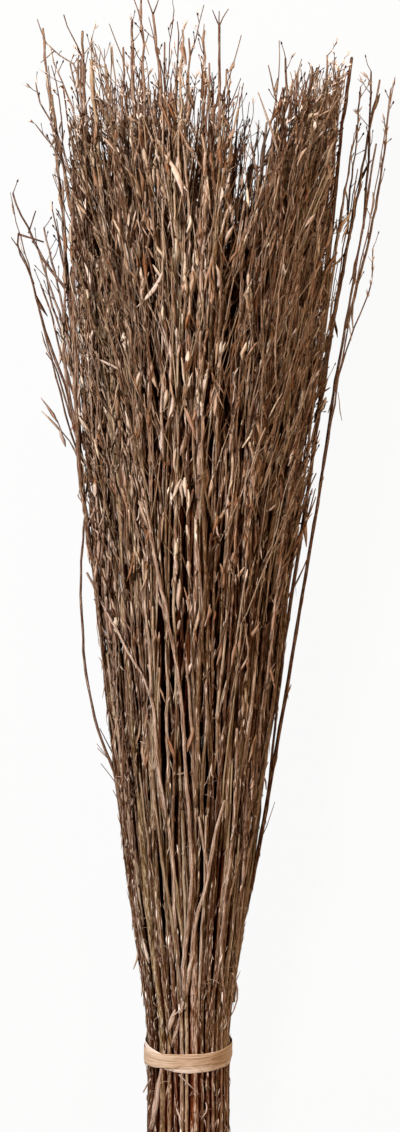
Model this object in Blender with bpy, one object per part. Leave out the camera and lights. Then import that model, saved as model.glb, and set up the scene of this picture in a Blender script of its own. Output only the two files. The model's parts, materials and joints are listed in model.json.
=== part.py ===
"""A tied bundle of dried, branching stems, lying on its side.

The bundle lies along +Y with its tips at +Y, and rests on the plane Z = 0.
Every stem is placed by a station (metres from the cut ends), an angle round the
bundle and a depth in it, so neighbours keep their own room as the fan opens.
"""

import math
import random
from dataclasses import dataclass

import bmesh
import bpy
from mathutils import Matrix, Vector

# The bundle, in metres.
LENGTH = 1.055  # cut ends to the furthest tip
TIE_AT = 0.107  # station of the tie's middle
FAN_FROM = 0.120  # station where the stems start to open
TIE_HALF_WIDTH = 0.0372  # outline of the stems at the tie
TIE_HALF_HEIGHT = 0.0352
FAN_HALF_WIDTH = 0.094  # what the outline gains by the tips
FAN_HALF_HEIGHT = 0.052
FAN_SOFTNESS = 0.05  # how gently the fan starts to open
FAN_POWER = 0.74  # below 1, the fan opens fast and then runs straighter
CENTRE_AT_TIE = -0.0105  # the middle line's X
CENTRE_AT_TIPS = 0.008
CENTRE_BOW = -0.006
FLAT_SHARE = 0.04  # share of the height that the bundle's own weight presses flat
FLAT_POWER = 1.5  # above 1, the underside is flatter than the top

# The stems.
OUTER_COUNT = 38
SECOND_COUNT = 19
OUTER_RADII = (0.0017, 0.0033)
SECOND_RADII = (0.0018, 0.0025)
THICK_RADIUS = 0.0040
THICK_STEMS = (9, 14)  # places in the outer ring, counted from +X over the top
SECOND_DEPTH = 0.75
STEM_TAPER = 0.58  # share of its radius that a stem loses by its tip
CUT_UNEVENNESS = 0.012
TIP_RADIUS = 0.0005
SWIRL = 1.2  # turn of the outer stems against the middle, radians at the tips
SWAY = 0.30  # a stem's slow side to side wander, in shares of its room
STATIONS = (0.120, 0.215)  # where every stem bends; it bends at its forks too

# The forks.
OUTER_FORKS = 2
SECOND_FORKS = 1
FORK_RADIUS_SHARE = 0.74
FORK_RUN = 0.07  # a fork has swung out three quarters of its way over this length
FORK_POINTS = (0.0, 0.3, 1.0)  # shares of a fork's own length

# The tips stop lower in a notch to the right of the middle.
NOTCH_X = 0.052
NOTCH_HALF_WIDTH = 0.018
NOTCH_DEPTH = 0.080
TALL_TIPS = 0.050  # height of the few longest stems over the others
TALL_SHARE = 0.3
TALL_UNTIL_X = 0.03
LONGEST = 12  # place of the longest stem in the outer ring

# The inner stems' common solid.
INNER_RODS = 6
INNER_ROD_RADIUS = 0.0078
INNER_DEPTH = 0.44
INNER_LENGTH = 0.93
INNER_TIP_SHARE = 0.17
INNER_STATIONS = (0.120, 0.20, 0.30, 0.44, 0.60, 0.78)

# The raffia tie, one strip wound twice.
RAFFIA_WIDTH = 0.0140
RAFFIA_THICKNESS = 0.0009
RAFFIA_GAP = 0.0006
RAFFIA_STEP = RAFFIA_THICKNESS + 0.00012  # how far out the strip winds in each turn
RAFFIA_SLANT = 0.25  # the tie's top leans towards the cut ends, by this share of its height
RAFFIA_SLIPS = (-0.0010, 0.0026)  # how far each turn slides on the left
RAFFIA_POINTS = 24  # round one turn
KNOT_ANGLE = math.radians(225)
KNOT_SIZE = (0.0029, 0.0044, 0.0056)  # outwards, round the tie, along the bundle
TAIL_LENGTHS = (0.030, 0.022)
TAIL_SWINGS = (0.24, -0.20)  # how far each end turns round the bundle, radians
TAIL_RADIUS = 0.0012
TAIL_OUT = 0.0050  # clear of the second turn
TIE_LIFT = RAFFIA_GAP + RAFFIA_THICKNESS + 1.125 * RAFFIA_STEP  # two turns, under the stems

SEED = 7


@dataclass
class Shoot:
    """An unforked run of a stem: the stem itself, or a fork that leaves it."""

    angle: float  # place round the bundle: 0 on +X, a quarter turn on top
    depth: float  # 1 on the outside of the bundle, 0 on its middle line
    radius: float  # at its lower end
    start: float  # station of its lower end
    end: float  # station of its tip
    waves: tuple  # phases of its slow wander
    room: float  # half the angle to its neighbours
    fringe: float = 0.0  # change of depth at the tips
    stray: float = 0.0  # metres that it leans out of the fan, sideways
    stray_from: float = 0.3  # station where that lean starts
    bow: float = 0.0  # metres that it bows sideways half way up
    parent: "Shoot" = None
    turn: float = 0.0  # a fork's swing round the bundle, away from its stem
    dive: float = 0.0  # a fork's swing towards the outside, or the middle if negative


# Stems that stray out of the fan: place in the outer ring, metres at the tips, station.
STRAYS = {
    0: (0.045, 0.22),
    1: (0.022, 0.30),
    37: (0.030, 0.34),
    18: (-0.022, 0.72),
    20: (-0.030, 0.78),
}
STRAY_FORKS = {19: (-0.091, 0.885), 0: (0.014, 0.985)}  # upper forks: metres, their ends
BOWED = {17: -0.012, 18: -0.010}  # metres that a stem bows sideways
BOW_AT = 0.67
BOW_SPAN = 0.15


def ease(t):
    t = min(1.0, max(0.0, t))
    return t * t * (3 - 2 * t)


def opening(station):
    """How far the fan has opened: 0 up to the tie, about 1 at the tips."""
    t = max(0.0, (station - FAN_FROM) / (LENGTH - FAN_FROM))
    return (math.hypot(t, FAN_SOFTNESS) - FAN_SOFTNESS) ** FAN_POWER


def half_width(station):
    return TIE_HALF_WIDTH + FAN_HALF_WIDTH * opening(station)


def half_height(station):
    return TIE_HALF_HEIGHT + FAN_HALF_HEIGHT * opening(station)


def centre_x(station):
    t = max(0.0, (station - FAN_FROM) / (LENGTH - FAN_FROM))
    line = CENTRE_AT_TIE + (CENTRE_AT_TIPS - CENTRE_AT_TIE) * t
    return line + CENTRE_BOW * math.sin(math.pi * min(1.0, t))


def lift(station):
    """Gap under the stems: the tie's thickness, closing as the fan sags to the floor."""
    return TIE_LIFT * (1 - ease((station - FAN_FROM) / 0.15))


def radius_at(shoot, station):
    share = (station - shoot.start) / (shoot.end - shoot.start)
    return max(TIP_RADIUS, shoot.radius * (1 - STEM_TAPER * max(0.0, share)))


def disc_place(shoot, station):
    """A shoot's angle round the bundle and its depth, at a station."""
    if shoot.parent:
        angle, depth = disc_place(shoot.parent, station)
        swing = math.tanh((station - shoot.start) / FORK_RUN)
        angle += shoot.turn * swing
        depth += shoot.dive * swing
    else:
        grown = opening(station) ** 0.7
        angle = shoot.angle + SWIRL * (shoot.depth - 0.85) * grown
        depth = shoot.depth
    grown = opening(station) ** 0.7
    first, second = shoot.waves
    wander = math.sin(7 * station + first) + 0.5 * math.sin(17 * station + second)
    angle += SWAY * shoot.room * grown * wander
    depth += shoot.fringe * ease((station - 0.72) / 0.35)
    return angle, depth


def sideways(shoot, station):
    """Metres that a shoot has strayed out of the fan."""
    kept = sideways(shoot.parent, station) if shoot.parent else 0.0
    share = max(0.0, (station - shoot.stray_from) / (LENGTH - shoot.stray_from))
    bow = shoot.bow * math.exp(-(((station - BOW_AT) / BOW_SPAN) ** 2))
    return kept + shoot.stray * share**0.8 + bow


def axis_point(shoot, station):
    """A shoot's middle line, at a station."""
    angle, depth = disc_place(shoot, station)
    radius = radius_at(shoot, station)
    width = half_width(station) - radius
    x = centre_x(station) + width * depth * math.cos(angle) + sideways(shoot, station)
    fan = opening(station)
    height = (1 + depth * math.sin(angle)) / 2
    pressed = height - FLAT_SHARE * fan
    pressed = (pressed + math.hypot(pressed, 0.01 * fan)) / 2
    power = 1 + (FLAT_POWER - 1) * fan
    z = 2 * (half_height(station) - radius) * max(0.0, pressed) ** power
    return Vector((x, station - LENGTH / 2, lift(station) + radius + z))


def tip_limit(x):
    """The station that the tips reach above a given X."""
    notch = math.exp(-(((x - NOTCH_X) / NOTCH_HALF_WIDTH) ** 2))
    return LENGTH - TALL_TIPS - NOTCH_DEPTH * notch


def ring_angles(radii, gap):
    """Angles of stems set side by side round the tie, each with its own thickness."""
    widths = [2 * r + gap for r in radii]
    angles, turned = [], 0.0
    for i, width in enumerate(widths):
        if i:
            turned += (widths[i - 1] + width) / 2
        angles.append(turned)
    return [2 * math.pi * a / sum(widths) for a in angles]


def make_stem(chance, place, angle, depth, radius, room):
    """A stem and its forks, as a list of shoots with the stem first."""
    stem = Shoot(
        angle=angle,
        depth=depth,
        radius=radius,
        start=CUT_UNEVENNESS * chance.random(),
        end=LENGTH,
        waves=(chance.uniform(0, 2 * math.pi), chance.uniform(0, 2 * math.pi)),
        room=room,
        fringe=chance.uniform(-0.02, 0.08) * depth,
    )
    outer = depth == 1.0
    if outer and place in STRAYS:
        stem.stray, stem.stray_from = STRAYS[place]
    if outer:
        stem.bow = BOWED.get(place, 0.0)
    limit = tip_limit(axis_point(stem, LENGTH - TALL_TIPS).x)
    stem.end = limit - chance.uniform(0.0, 0.10)
    if chance.random() < TALL_SHARE and axis_point(stem, LENGTH).x < TALL_UNTIL_X:
        stem.end = limit + TALL_TIPS * chance.uniform(0.0, 0.65)
    if outer and place == LONGEST:
        stem.end = LENGTH
    shoots = [stem]
    side = chance.choice((-1, 1))
    for i in range(OUTER_FORKS if outer else SECOND_FORKS):
        start = 0.33 + 0.24 * i + chance.uniform(0.0, 0.10)
        fork = Shoot(
            angle=angle,
            depth=depth,
            radius=FORK_RADIUS_SHARE * radius_at(stem, start),
            start=start,
            end=min(limit, stem.end) - chance.uniform(-0.02, 0.12),
            waves=(chance.uniform(0, 2 * math.pi), chance.uniform(0, 2 * math.pi)),
            room=0.3 * room,
            parent=stem,
            turn=side * room * chance.uniform(0.5, 0.7),
            dive=-(0.13 - 0.10 * i) + chance.uniform(-0.02, 0.02),
        )
        if outer and i == 1 and place in STRAY_FORKS:
            fork.stray, fork.end = STRAY_FORKS[place]
            fork.stray_from = start
        shoots.append(fork)
        side = -side
    return shoots


def all_stems():
    """{node name: shoots} for the outer ring and the ring behind it."""
    chance = random.Random(SEED)
    stems = {}
    radii = [chance.uniform(*OUTER_RADII) for _ in range(OUTER_COUNT)]
    for place in THICK_STEMS:
        radii[place] = THICK_RADIUS
    around = math.pi * (TIE_HALF_WIDTH + TIE_HALF_HEIGHT) - 2 * math.pi * sum(radii) / len(radii)
    room_left = around - 2 * sum(radii)
    angles = ring_angles(radii, room_left / OUTER_COUNT)
    for place, (angle, radius) in enumerate(zip(angles, radii)):
        name = f"stem_{place + 1:02d}"
        stems[name] = make_stem(chance, place, angle, 1.0, radius, math.pi / OUTER_COUNT)
    for place in range(SECOND_COUNT):
        angle = 2 * math.pi * (place + 0.5) / SECOND_COUNT
        radius = chance.uniform(*SECOND_RADII)
        name = f"stem_{OUTER_COUNT + place + 1:02d}"
        room = math.pi / SECOND_COUNT
        stems[name] = make_stem(chance, place, angle, SECOND_DEPTH, radius, room)
    return stems


def inner_rods():
    """Shoots of the inner stems' common solid: one in the middle and a ring round it."""
    rods = []
    for i in range(INNER_RODS + 1):
        depth = INNER_DEPTH if i else 0.0
        rods.append(
            Shoot(
                angle=2 * math.pi * i / INNER_RODS,
                depth=depth,
                radius=INNER_ROD_RADIUS,
                start=CUT_UNEVENNESS / 2,
                end=INNER_LENGTH - 0.012 * (5 * i % 7),
                waves=(2.0 * i, 3.0 * i),
                room=0.25,
            )
        )
    return rods


def new_collection(name):
    collection = bpy.data.collections.new(name)
    bpy.context.scene.collection.children.link(collection)
    return collection


def material(name, colour, roughness):
    made = bpy.data.materials.new(name)
    made.use_nodes = True
    shader = made.node_tree.nodes["Principled BSDF"]
    shader.inputs["Base Color"].default_value = (*colour, 1.0)
    shader.inputs["Roughness"].default_value = roughness
    shader.inputs["Metallic"].default_value = 0.0
    made.diffuse_color = (*colour, 1.0)
    return made


def mesh_object(name, curve_object, finish, collection):
    """The curve's solid as a mesh object, with its caps welded on."""
    graph = bpy.context.evaluated_depsgraph_get()
    mesh = bpy.data.meshes.new_from_object(curve_object.evaluated_get(graph))
    mesh.name = name
    shape = bmesh.new()
    shape.from_mesh(mesh)
    bmesh.ops.remove_doubles(shape, verts=shape.verts, dist=0.00001)
    bmesh.ops.recalc_face_normals(shape, faces=shape.faces)
    shape.to_mesh(mesh)
    shape.free()
    made = bpy.data.objects.new(name, mesh)
    made.matrix_world = curve_object.matrix_world
    mesh.materials.clear()
    mesh.materials.append(finish)
    mesh.shade_smooth()
    mesh.set_sharp_from_angle(angle=math.radians(50))
    collection.objects.link(made)
    bpy.data.objects.remove(curve_object)
    return made


def tube(name, points, radii, sides_setting, finish, collection):
    """A tapered tube through the points. Setting 0 gives 4 sides and 1 gives 6."""
    curve = bpy.data.curves.new(name + "_line", "CURVE")
    curve.dimensions = "3D"
    curve.bevel_depth = 1.0
    curve.bevel_resolution = sides_setting
    curve.use_fill_caps = True
    spline = curve.splines.new("POLY")
    spline.points.add(len(points) - 1)
    for point, at, radius in zip(spline.points, points, radii):
        point.co = (*at, 1.0)
        point.radius = radius
    line = bpy.data.objects.new(name + "_line", curve)
    collection.objects.link(line)
    bpy.context.view_layer.update()
    return mesh_object(name, line, finish, collection)


def as_cutter(obj):
    obj.hide_render = True
    obj.display_type = "WIRE"


def join_all(target, others, helpers):
    """Unites the others with the target, as one solid."""
    group = bpy.data.collections.new(target.name + "_joined")
    helpers.children.link(group)
    for other in others:
        helpers.objects.unlink(other)
        group.objects.link(other)
        as_cutter(other)
    union = target.modifiers.new("join", "BOOLEAN")
    union.operation = "UNION"
    union.solver = "EXACT"
    union.operand_type = "COLLECTION"
    union.collection = group


def stem_stations(shoots):
    """Stations of a stem's bends: each fork leaves from one of them."""
    stem = shoots[0]
    last_fork = shoots[-1].start
    return [
        stem.start,
        *STATIONS,
        *(fork.start for fork in shoots[1:]),
        (last_fork + stem.end) / 2,
        stem.end,
    ]


def fork_stations(fork):
    return [fork.start + share * (fork.end - fork.start) for share in FORK_POINTS]


def shoot_tube(name, shoot, stations, sides_setting, finish, collection):
    points = [axis_point(shoot, s) for s in stations]
    radii = [radius_at(shoot, s) for s in stations]
    return tube(name, points, radii, sides_setting, finish, collection)


def build_stem(name, shoots, sides_setting, finish, parts, helpers):
    body = shoot_tube(name, shoots[0], stem_stations(shoots), sides_setting, finish, parts)
    forks = []
    for i, fork in enumerate(shoots[1:]):
        fork_name = f"{name}_fork_{i + 1}"
        forks.append(shoot_tube(fork_name, fork, fork_stations(fork), 0, finish, helpers))
    return body, forks


def build_inner_stems(finish, parts, helpers):
    rods = []
    for i, rod in enumerate(inner_rods()):
        stations = [rod.start, *(s for s in INNER_STATIONS if s < rod.end - 0.04), rod.end]
        radii = [
            rod.radius * (1 - (1 - INNER_TIP_SHARE) * ease((s - 0.05) / rod.end))
            for s in stations
        ]
        points = [axis_point(rod, s) for s in stations]
        place = helpers if i else parts
        name = f"inner_stems_rod_{i}" if i else "inner_stems"
        rods.append(tube(name, points, radii, 1, finish, place))
    return rods[0], rods[1:]


def tie_point(angle, out, slide=0.0):
    """A point on the tie: out from the stems, and slid towards the cut ends."""
    x = (TIE_HALF_WIDTH + out) * math.cos(angle)
    y = (TIE_HALF_HEIGHT + out) * math.sin(angle)
    return Vector((x, y, RAFFIA_SLANT * y + slide))


def raffia_path():
    """The middle line of the strip's two turns, in the tie's own frame."""
    points = []
    for i in range(2 * RAFFIA_POINTS + 1):
        turned = i / RAFFIA_POINTS
        angle = KNOT_ANGLE + 2 * math.pi * turned
        out = RAFFIA_GAP + RAFFIA_THICKNESS / 2 + RAFFIA_STEP * turned
        left = max(0.0, -math.cos(angle)) ** 3
        points.append(tie_point(angle, out, left * RAFFIA_SLIPS[int(turned > 1)]))
    return points


def ribbon(name, points, half_width, finish, collection, frame):
    """A flat strip along the points, standing on edge in its own frame."""
    curve = bpy.data.curves.new(name + "_line", "CURVE")
    curve.dimensions = "3D"
    curve.twist_mode = "Z_UP"
    curve.extrude = half_width - RAFFIA_THICKNESS / 2
    curve.bevel_depth = RAFFIA_THICKNESS / 2
    curve.bevel_resolution = 0
    curve.use_fill_caps = True
    spline = curve.splines.new("POLY")
    spline.points.add(len(points) - 1)
    for point, at in zip(spline.points, points):
        point.co = (*at, 1.0)
    line = bpy.data.objects.new(name + "_line", curve)
    line.matrix_world = frame
    collection.objects.link(line)
    bpy.context.view_layer.update()
    return mesh_object(name, line, finish, collection)


def build_knot(frame, finish, helpers):
    """The knot that holds the strip's two ends."""
    middle = tie_point(KNOT_ANGLE, RAFFIA_GAP + KNOT_SIZE[0])
    turn = Matrix.Rotation(KNOT_ANGLE, 4, "Z")
    size = Matrix.Diagonal((*KNOT_SIZE, 1.0))
    place = frame @ Matrix.Translation(middle) @ turn @ size
    mesh = bpy.data.meshes.new("raffia_knot")
    shape = bmesh.new()
    bmesh.ops.create_uvsphere(shape, u_segments=10, v_segments=7, radius=1.0, matrix=place)
    shape.to_mesh(mesh)
    shape.free()
    mesh.materials.append(finish)
    mesh.shade_smooth()
    knot = bpy.data.objects.new("raffia_knot", mesh)
    helpers.objects.link(knot)
    return knot


def build_tails(frame, finish, helpers):
    """The strip's two short ends past the knot, both towards the cut ends."""
    tails = []
    for i, (length, swing) in enumerate(zip(TAIL_LENGTHS, TAIL_SWINGS)):
        points, radii = [], []
        for step in range(5):
            share = step / 4
            out = TAIL_OUT + 0.0008 * share
            at = tie_point(KNOT_ANGLE + swing * share, out, length * share)
            points.append(frame @ at)
            radii.append(TAIL_RADIUS * (1 - 0.4 * share))
        tails.append(tube(f"raffia_tail_{i + 1}", points, radii, 0, finish, helpers))
    return tails


def build_tie(finish, parts, helpers):
    """The tie, in its own frame: X across the bundle, Y up, Z towards the cut ends."""
    middle = Vector((centre_x(TIE_AT), TIE_AT - LENGTH / 2, TIE_LIFT + TIE_HALF_HEIGHT))
    frame = Matrix.Translation(middle) @ Matrix.Rotation(math.radians(90), 4, "X")
    tie = ribbon("raffia_tie", raffia_path(), RAFFIA_WIDTH / 2, finish, parts, frame)
    knot = build_knot(frame, finish, helpers)
    return tie, [knot, *build_tails(frame, finish, helpers)]


def main():
    for obj in list(bpy.data.objects):
        bpy.data.objects.remove(obj)
    parts = new_collection("dried_stem_bundle")
    helpers = new_collection("cutters")
    bark = material("bark", (0.20, 0.12, 0.075), 0.75)
    young_bark = material("young_bark", (0.26, 0.155, 0.09), 0.7)
    raffia = material("raffia", (0.56, 0.38, 0.23), 0.6)
    joints = []
    for i, (name, shoots) in enumerate(all_stems().items()):
        sides_setting = 1 if i < OUTER_COUNT else 0
        finish = bark if i % 3 else young_bark
        joints.append(build_stem(name, shoots, sides_setting, finish, parts, helpers))
    joints.append(build_inner_stems(bark, parts, helpers))
    joints.append(build_tie(raffia, parts, helpers))
    for target, others in joints:
        join_all(target, others, helpers)


main()
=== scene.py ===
"""Looks of a tied bundle of dried, branching stems that lies on a pale floor.

Each stem gets its bark, leaf nodes, twigs, buds and papery leaves, the stems inside the bundle
are grown one by one, and the tie becomes a strip of raffia with its fibres.
"""

import json
import math
import random
from dataclasses import dataclass, replace

import bpy
import numpy as np
from bpy.props import FloatProperty, FloatVectorProperty, IntProperty, PointerProperty
from bpy.types import Operator, Panel, PropertyGroup
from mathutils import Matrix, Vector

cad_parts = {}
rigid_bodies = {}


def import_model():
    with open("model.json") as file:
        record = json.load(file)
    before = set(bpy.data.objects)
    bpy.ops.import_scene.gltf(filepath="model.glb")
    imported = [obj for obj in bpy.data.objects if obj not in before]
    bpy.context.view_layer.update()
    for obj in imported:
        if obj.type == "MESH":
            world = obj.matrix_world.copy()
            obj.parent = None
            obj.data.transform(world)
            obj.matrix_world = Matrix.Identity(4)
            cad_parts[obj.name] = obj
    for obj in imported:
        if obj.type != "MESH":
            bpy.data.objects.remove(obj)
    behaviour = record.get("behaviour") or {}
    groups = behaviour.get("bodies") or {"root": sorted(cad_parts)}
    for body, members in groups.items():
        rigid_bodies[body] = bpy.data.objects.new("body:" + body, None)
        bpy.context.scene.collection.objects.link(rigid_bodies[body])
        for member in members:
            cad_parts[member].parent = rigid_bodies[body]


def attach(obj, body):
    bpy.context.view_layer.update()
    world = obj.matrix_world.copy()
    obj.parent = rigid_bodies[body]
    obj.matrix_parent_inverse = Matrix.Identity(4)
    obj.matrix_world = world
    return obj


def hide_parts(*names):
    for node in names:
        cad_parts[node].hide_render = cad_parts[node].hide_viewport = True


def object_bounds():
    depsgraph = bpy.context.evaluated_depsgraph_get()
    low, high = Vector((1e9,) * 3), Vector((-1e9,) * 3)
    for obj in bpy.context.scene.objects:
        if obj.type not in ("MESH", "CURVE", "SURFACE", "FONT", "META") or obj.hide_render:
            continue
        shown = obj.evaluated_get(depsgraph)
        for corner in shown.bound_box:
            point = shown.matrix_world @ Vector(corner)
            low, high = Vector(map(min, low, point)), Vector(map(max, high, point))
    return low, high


bl_info = {
    "name": "Dried stem bundle",
    "version": (1, 0, 0),
    "blender": (4, 5, 0),
    "location": "3D View > Sidebar > Dried bundle",
    "description": "Grows the stems, twigs, leaves and raffia tie of a dried bundle",
    "category": "Object",
}

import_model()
CAD_BOX = [list(corner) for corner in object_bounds()]
BODY = "root"

# The bundle, in metres: the same named sizes as its solids. A station is a place along it,
# measured from the cut ends.
LENGTH = 1.055  # cut ends to the furthest tip
TIE_AT = 0.107  # station of the tie's middle
FAN_FROM = 0.120  # station where the stems start to open
TIE_HALF_WIDTH = 0.0372  # outline of the stems at the tie
TIE_HALF_HEIGHT = 0.0352
FAN_HALF_WIDTH = 0.094  # what the outline gains by the tips
FAN_HALF_HEIGHT = 0.052
FAN_SOFTNESS = 0.05  # how gently the fan starts to open
FAN_POWER = 0.74  # below 1, the fan opens fast and then runs straighter
CENTRE_AT_TIE = -0.0105  # the middle line's X
CENTRE_AT_TIPS = 0.008
CENTRE_BOW = -0.006
FLAT_SHARE = 0.04  # share of the height that the bundle's own weight presses flat
FLAT_POWER = 1.5  # above 1, the underside is flatter than the top
OUTER_COUNT = 38
SECOND_COUNT = 19
OUTER_RADII = (0.0017, 0.0033)
SECOND_RADII = (0.0018, 0.0025)
THICK_RADIUS = 0.0040
THICK_STEMS = (9, 14)  # places in the outer ring, counted from +X over the top
TINTS = {  # shade and warmth of chosen stems: one thick one is orange and one olive
    9: (0.66, 1.0),
    14: (0.62, 0.0),
    0: (0.28, 0.9),
    17: (0.30, 0.7),
    18: (0.34, 0.6),
    19: (0.38, 0.8),
    37: (0.40, 0.8),
}
SECOND_DEPTH = 0.75
STEM_TAPER = 0.58  # share of its radius that a stem loses by its tip
CUT_UNEVENNESS = 0.012
TIP_RADIUS = 0.0005
SWIRL = 1.2  # turn of the outer stems against the middle, radians at the tips
SWAY = 0.30  # a stem's slow side to side wander, in shares of its room
OUTER_FORKS = 2
SECOND_FORKS = 1
FORK_RADIUS_SHARE = 0.74
FORK_RUN = 0.07  # a fork has swung out three quarters of its way over this length
NOTCH_X = 0.052  # the tips stand lower here
NOTCH_HALF_WIDTH = 0.018
NOTCH_DEPTH = 0.080
TALL_TIPS = 0.050  # height of the few longest stems over the others
TALL_SHARE = 0.3
TALL_UNTIL_X = 0.03
LONGEST = 12  # place of the longest stem in the outer ring

# The raffia tie.
RAFFIA_WIDTH = 0.0140
RAFFIA_THICKNESS = 0.0009
RAFFIA_GAP = 0.0006
RAFFIA_STEP = RAFFIA_THICKNESS + 0.00012  # how far out the strip winds in each turn
RAFFIA_SLANT = 0.25  # the tie's top leans towards the cut ends, by this share of its height
KNOT_ANGLE = math.radians(225)
KNOT_SIZE = (0.0029, 0.0044, 0.0056)  # outwards, round the tie, along the bundle
KNOT_TILTS = (0.9, -0.8)  # of the strip's two ends where they cross
KNOT_OUT = 0.0022
KNOT_STEP = 0.0009
KNOT_STRAND = (0.0052, 0.0016)  # width and thickness of an end in the knot
TAIL_STRAND = (0.0044, 0.0007)  # and of the same end past it
TURN_SHADES = (1.20, 0.46)  # of the two turns of raffia
TAIL_LENGTHS = (0.030, 0.022)
TAIL_SWINGS = (0.24, -0.20)  # how far each end turns round the bundle, radians
TAIL_OUT = 0.0050  # clear of the second turn
BARE_EDGE = 0.0042  # of the first turn of raffia, below the second
TIE_LIFT = RAFFIA_GAP + RAFFIA_THICKNESS + 1.125 * RAFFIA_STEP  # two turns, under the stems

SEED = 7

# Stems that lean out or bow, by their place in the outer ring.
STRAYS = {  # how far they lean out at the tips, and from which station
    0: (0.045, 0.22),
    1: (0.022, 0.30),
    37: (0.030, 0.34),
    18: (-0.022, 0.72),
    20: (-0.030, 0.78),
}
STRAY_FORKS = {19: (-0.091, 0.885), 0: (0.014, 0.985)}  # the same for upper forks, and their ends
BOWED = {17: -0.012, 18: -0.010}  # how far they bow sideways
BOW_AT = 0.67
BOW_SPAN = 0.15

# Loose stems between the ringed ones.
LOOSE_FORKS = 2
SPREAD_RATE = 4.0  # how early they spread out as the bundle opens
LOOSE_NOTCH_X = 0.0555  # their tips close in on the notch from both sides
LOOSE_NOTCH_HALF_WIDTH = 0.013
LOOSE_NOTCH_DEPTH = 0.103
SHOULDER_X = -0.068  # their tips stand lower to the left of this
SHOULDER_DROP = 0.040
TWIG_CEILING = -0.012  # twigs stop below the tips
TALL_CEILING = 0.05  # and those of the tallest stems may rise over them

# Shade painted into the stems' and leaves' colours: darker the deeper under the bundle's surface, and also
# below the tie and halfway up.
SUNK_FROM = 0.0005  # depth under the surface where the light starts to fade
SUNK_SPAN = 0.0024  # and over which depth it fades
SUNK_SPAN_AT_TIPS = 0.028
# TIPS_OPEN takes painted shade away at the open heads; FOOT_SHADE and MIDDLE_SHADE add painted shade below
# the tie and halfway up the bundle.
TIPS_OPEN = 0.90  # share of the shade that the open heads lose
FOOT_SUNK = 0.66  # how much faster it fades below the tie
FOOT_SHADE = 0.14  # how much of it is gone there anyway
FOOT_EDGE = 0.012  # length over which both change
MIDDLE_SHADE = 0.09  # how much of it is gone halfway up the bundle
MIDDLE_AT = 0.46
MIDDLE_SPAN = 0.20

# Grown pieces.
MAP_NAME = "OFBake"
LONGEST_RUN = 0.10  # a tube's map is cut into runs of at most this length
MAP_MARGIN = 0.0003
SHORTEST_RUN = 1e-5
PLACE_SCALE = 100  # of the place along a tube that the fibres follow
BARK, LEAF, HUSK, CUT = 0, 1, 2, 3  # places of the finishes in a stem
RAFFIA = 0  # and of the tie's only one
CUT_ZONE = 0.03  # a stem that starts below this station starts with a cut face
FLOOR_GAP = 0.0002
TWIG_ROOM = 0.004  # how far twigs stand past the stems
RIGHT_BULGE = 0.014  # and how much further at the right, halfway up the fan
BULGE_AT = 0.68
BULGE_SPAN = 0.10
EDGE_GAP = 0.001  # between twigs and the floor or the sides of the bundle's box
UNEVENNESS = 0.04  # how unevenly thick a stem is between its leaf nodes
TIP_THINNING = 0.15  # how much thinner it is than its solid at the tip
STRAY_CALM = 0.45  # stems that lean out of the fan are straighter
STRAY_TWIGS = 0.25  # and hold this share of the others' twigs and leaves
STRAY_REACH = 0.016  # how far their twigs may reach past the fan
UNDERSIDE = 0.35  # share of twigs and leaves left on the stems below
UNDERSIDE_FROM = -0.40  # sine of a stem's angle in the ring

# Twigs, leaves and what hangs on them: lowest and highest values, in metres and radians.
TWIG_STEP = 0.016
TWIG_SPLAY = 0.36  # slant of the twigs away from the middle of the bundle
TWIG_LEANS = (0.20, 0.60)
TWIG_LENGTHS = (0.045, 0.155)
TWIG_RADII = (0.0008, 0.0015)
TWIG_TIP_RADIUS = 0.0005
TWIGLET_LEANS = (0.40, 1.05)
TWIGLET_LENGTHS = (0.004, 0.017)
TWIGLET_FOOT_RADIUS = 0.0006
TWIGLET_RADII = (0.00030, 0.00050)
BUD_SWELLS = (1.6, 2.8)  # how much thicker a bud is than its twig
BUD_MIDDLE = 0.0012  # how far the middle and the end of a bud stand past its twig
BUD_END = 0.0030
HEAD_BUDS = 1.9  # how many more bud twigs the heads have
HEADS_FROM = 0.93  # station above which twigs still hold pale husks
HUSK_LENGTHS = (0.004, 0.009)
HUSK_WIDTHS = (0.0014, 0.0028)
PEELS_UNTIL = 0.62  # station where the peeling bark ends
PEEL_LENGTHS = (0.004, 0.013)
PEEL_WIDTHS = (0.0010, 0.0027)
PALE_PEELS = 0.12  # share of the peels that is as pale as a husk
LEAVES_FROM = 0.17  # station where the bare foot of the stems ends
LEAF_PROFILE = np.array([0.40, 1.0, 0.85, 0.25])  # half widths from a leaf's foot to its tip
LEAF_THICKNESS = 0.00022
CRUMPLE = 0.0005  # how far a leaf's points lie off a smooth curve
BROAD_LEAF = ((0.014, 0.030), (0.0030, 0.0056))  # lengths and widths
SLIM_LEAF = ((0.008, 0.020), (0.0014, 0.0028))
TWIG_LEAF = ((0.009, 0.020), (0.0026, 0.0044))
MAT_LEAF = ((0.012, 0.026), (0.0045, 0.0080))
BROAD_LEAVES = 0.62  # share of the stems' leaves that is broad

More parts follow.
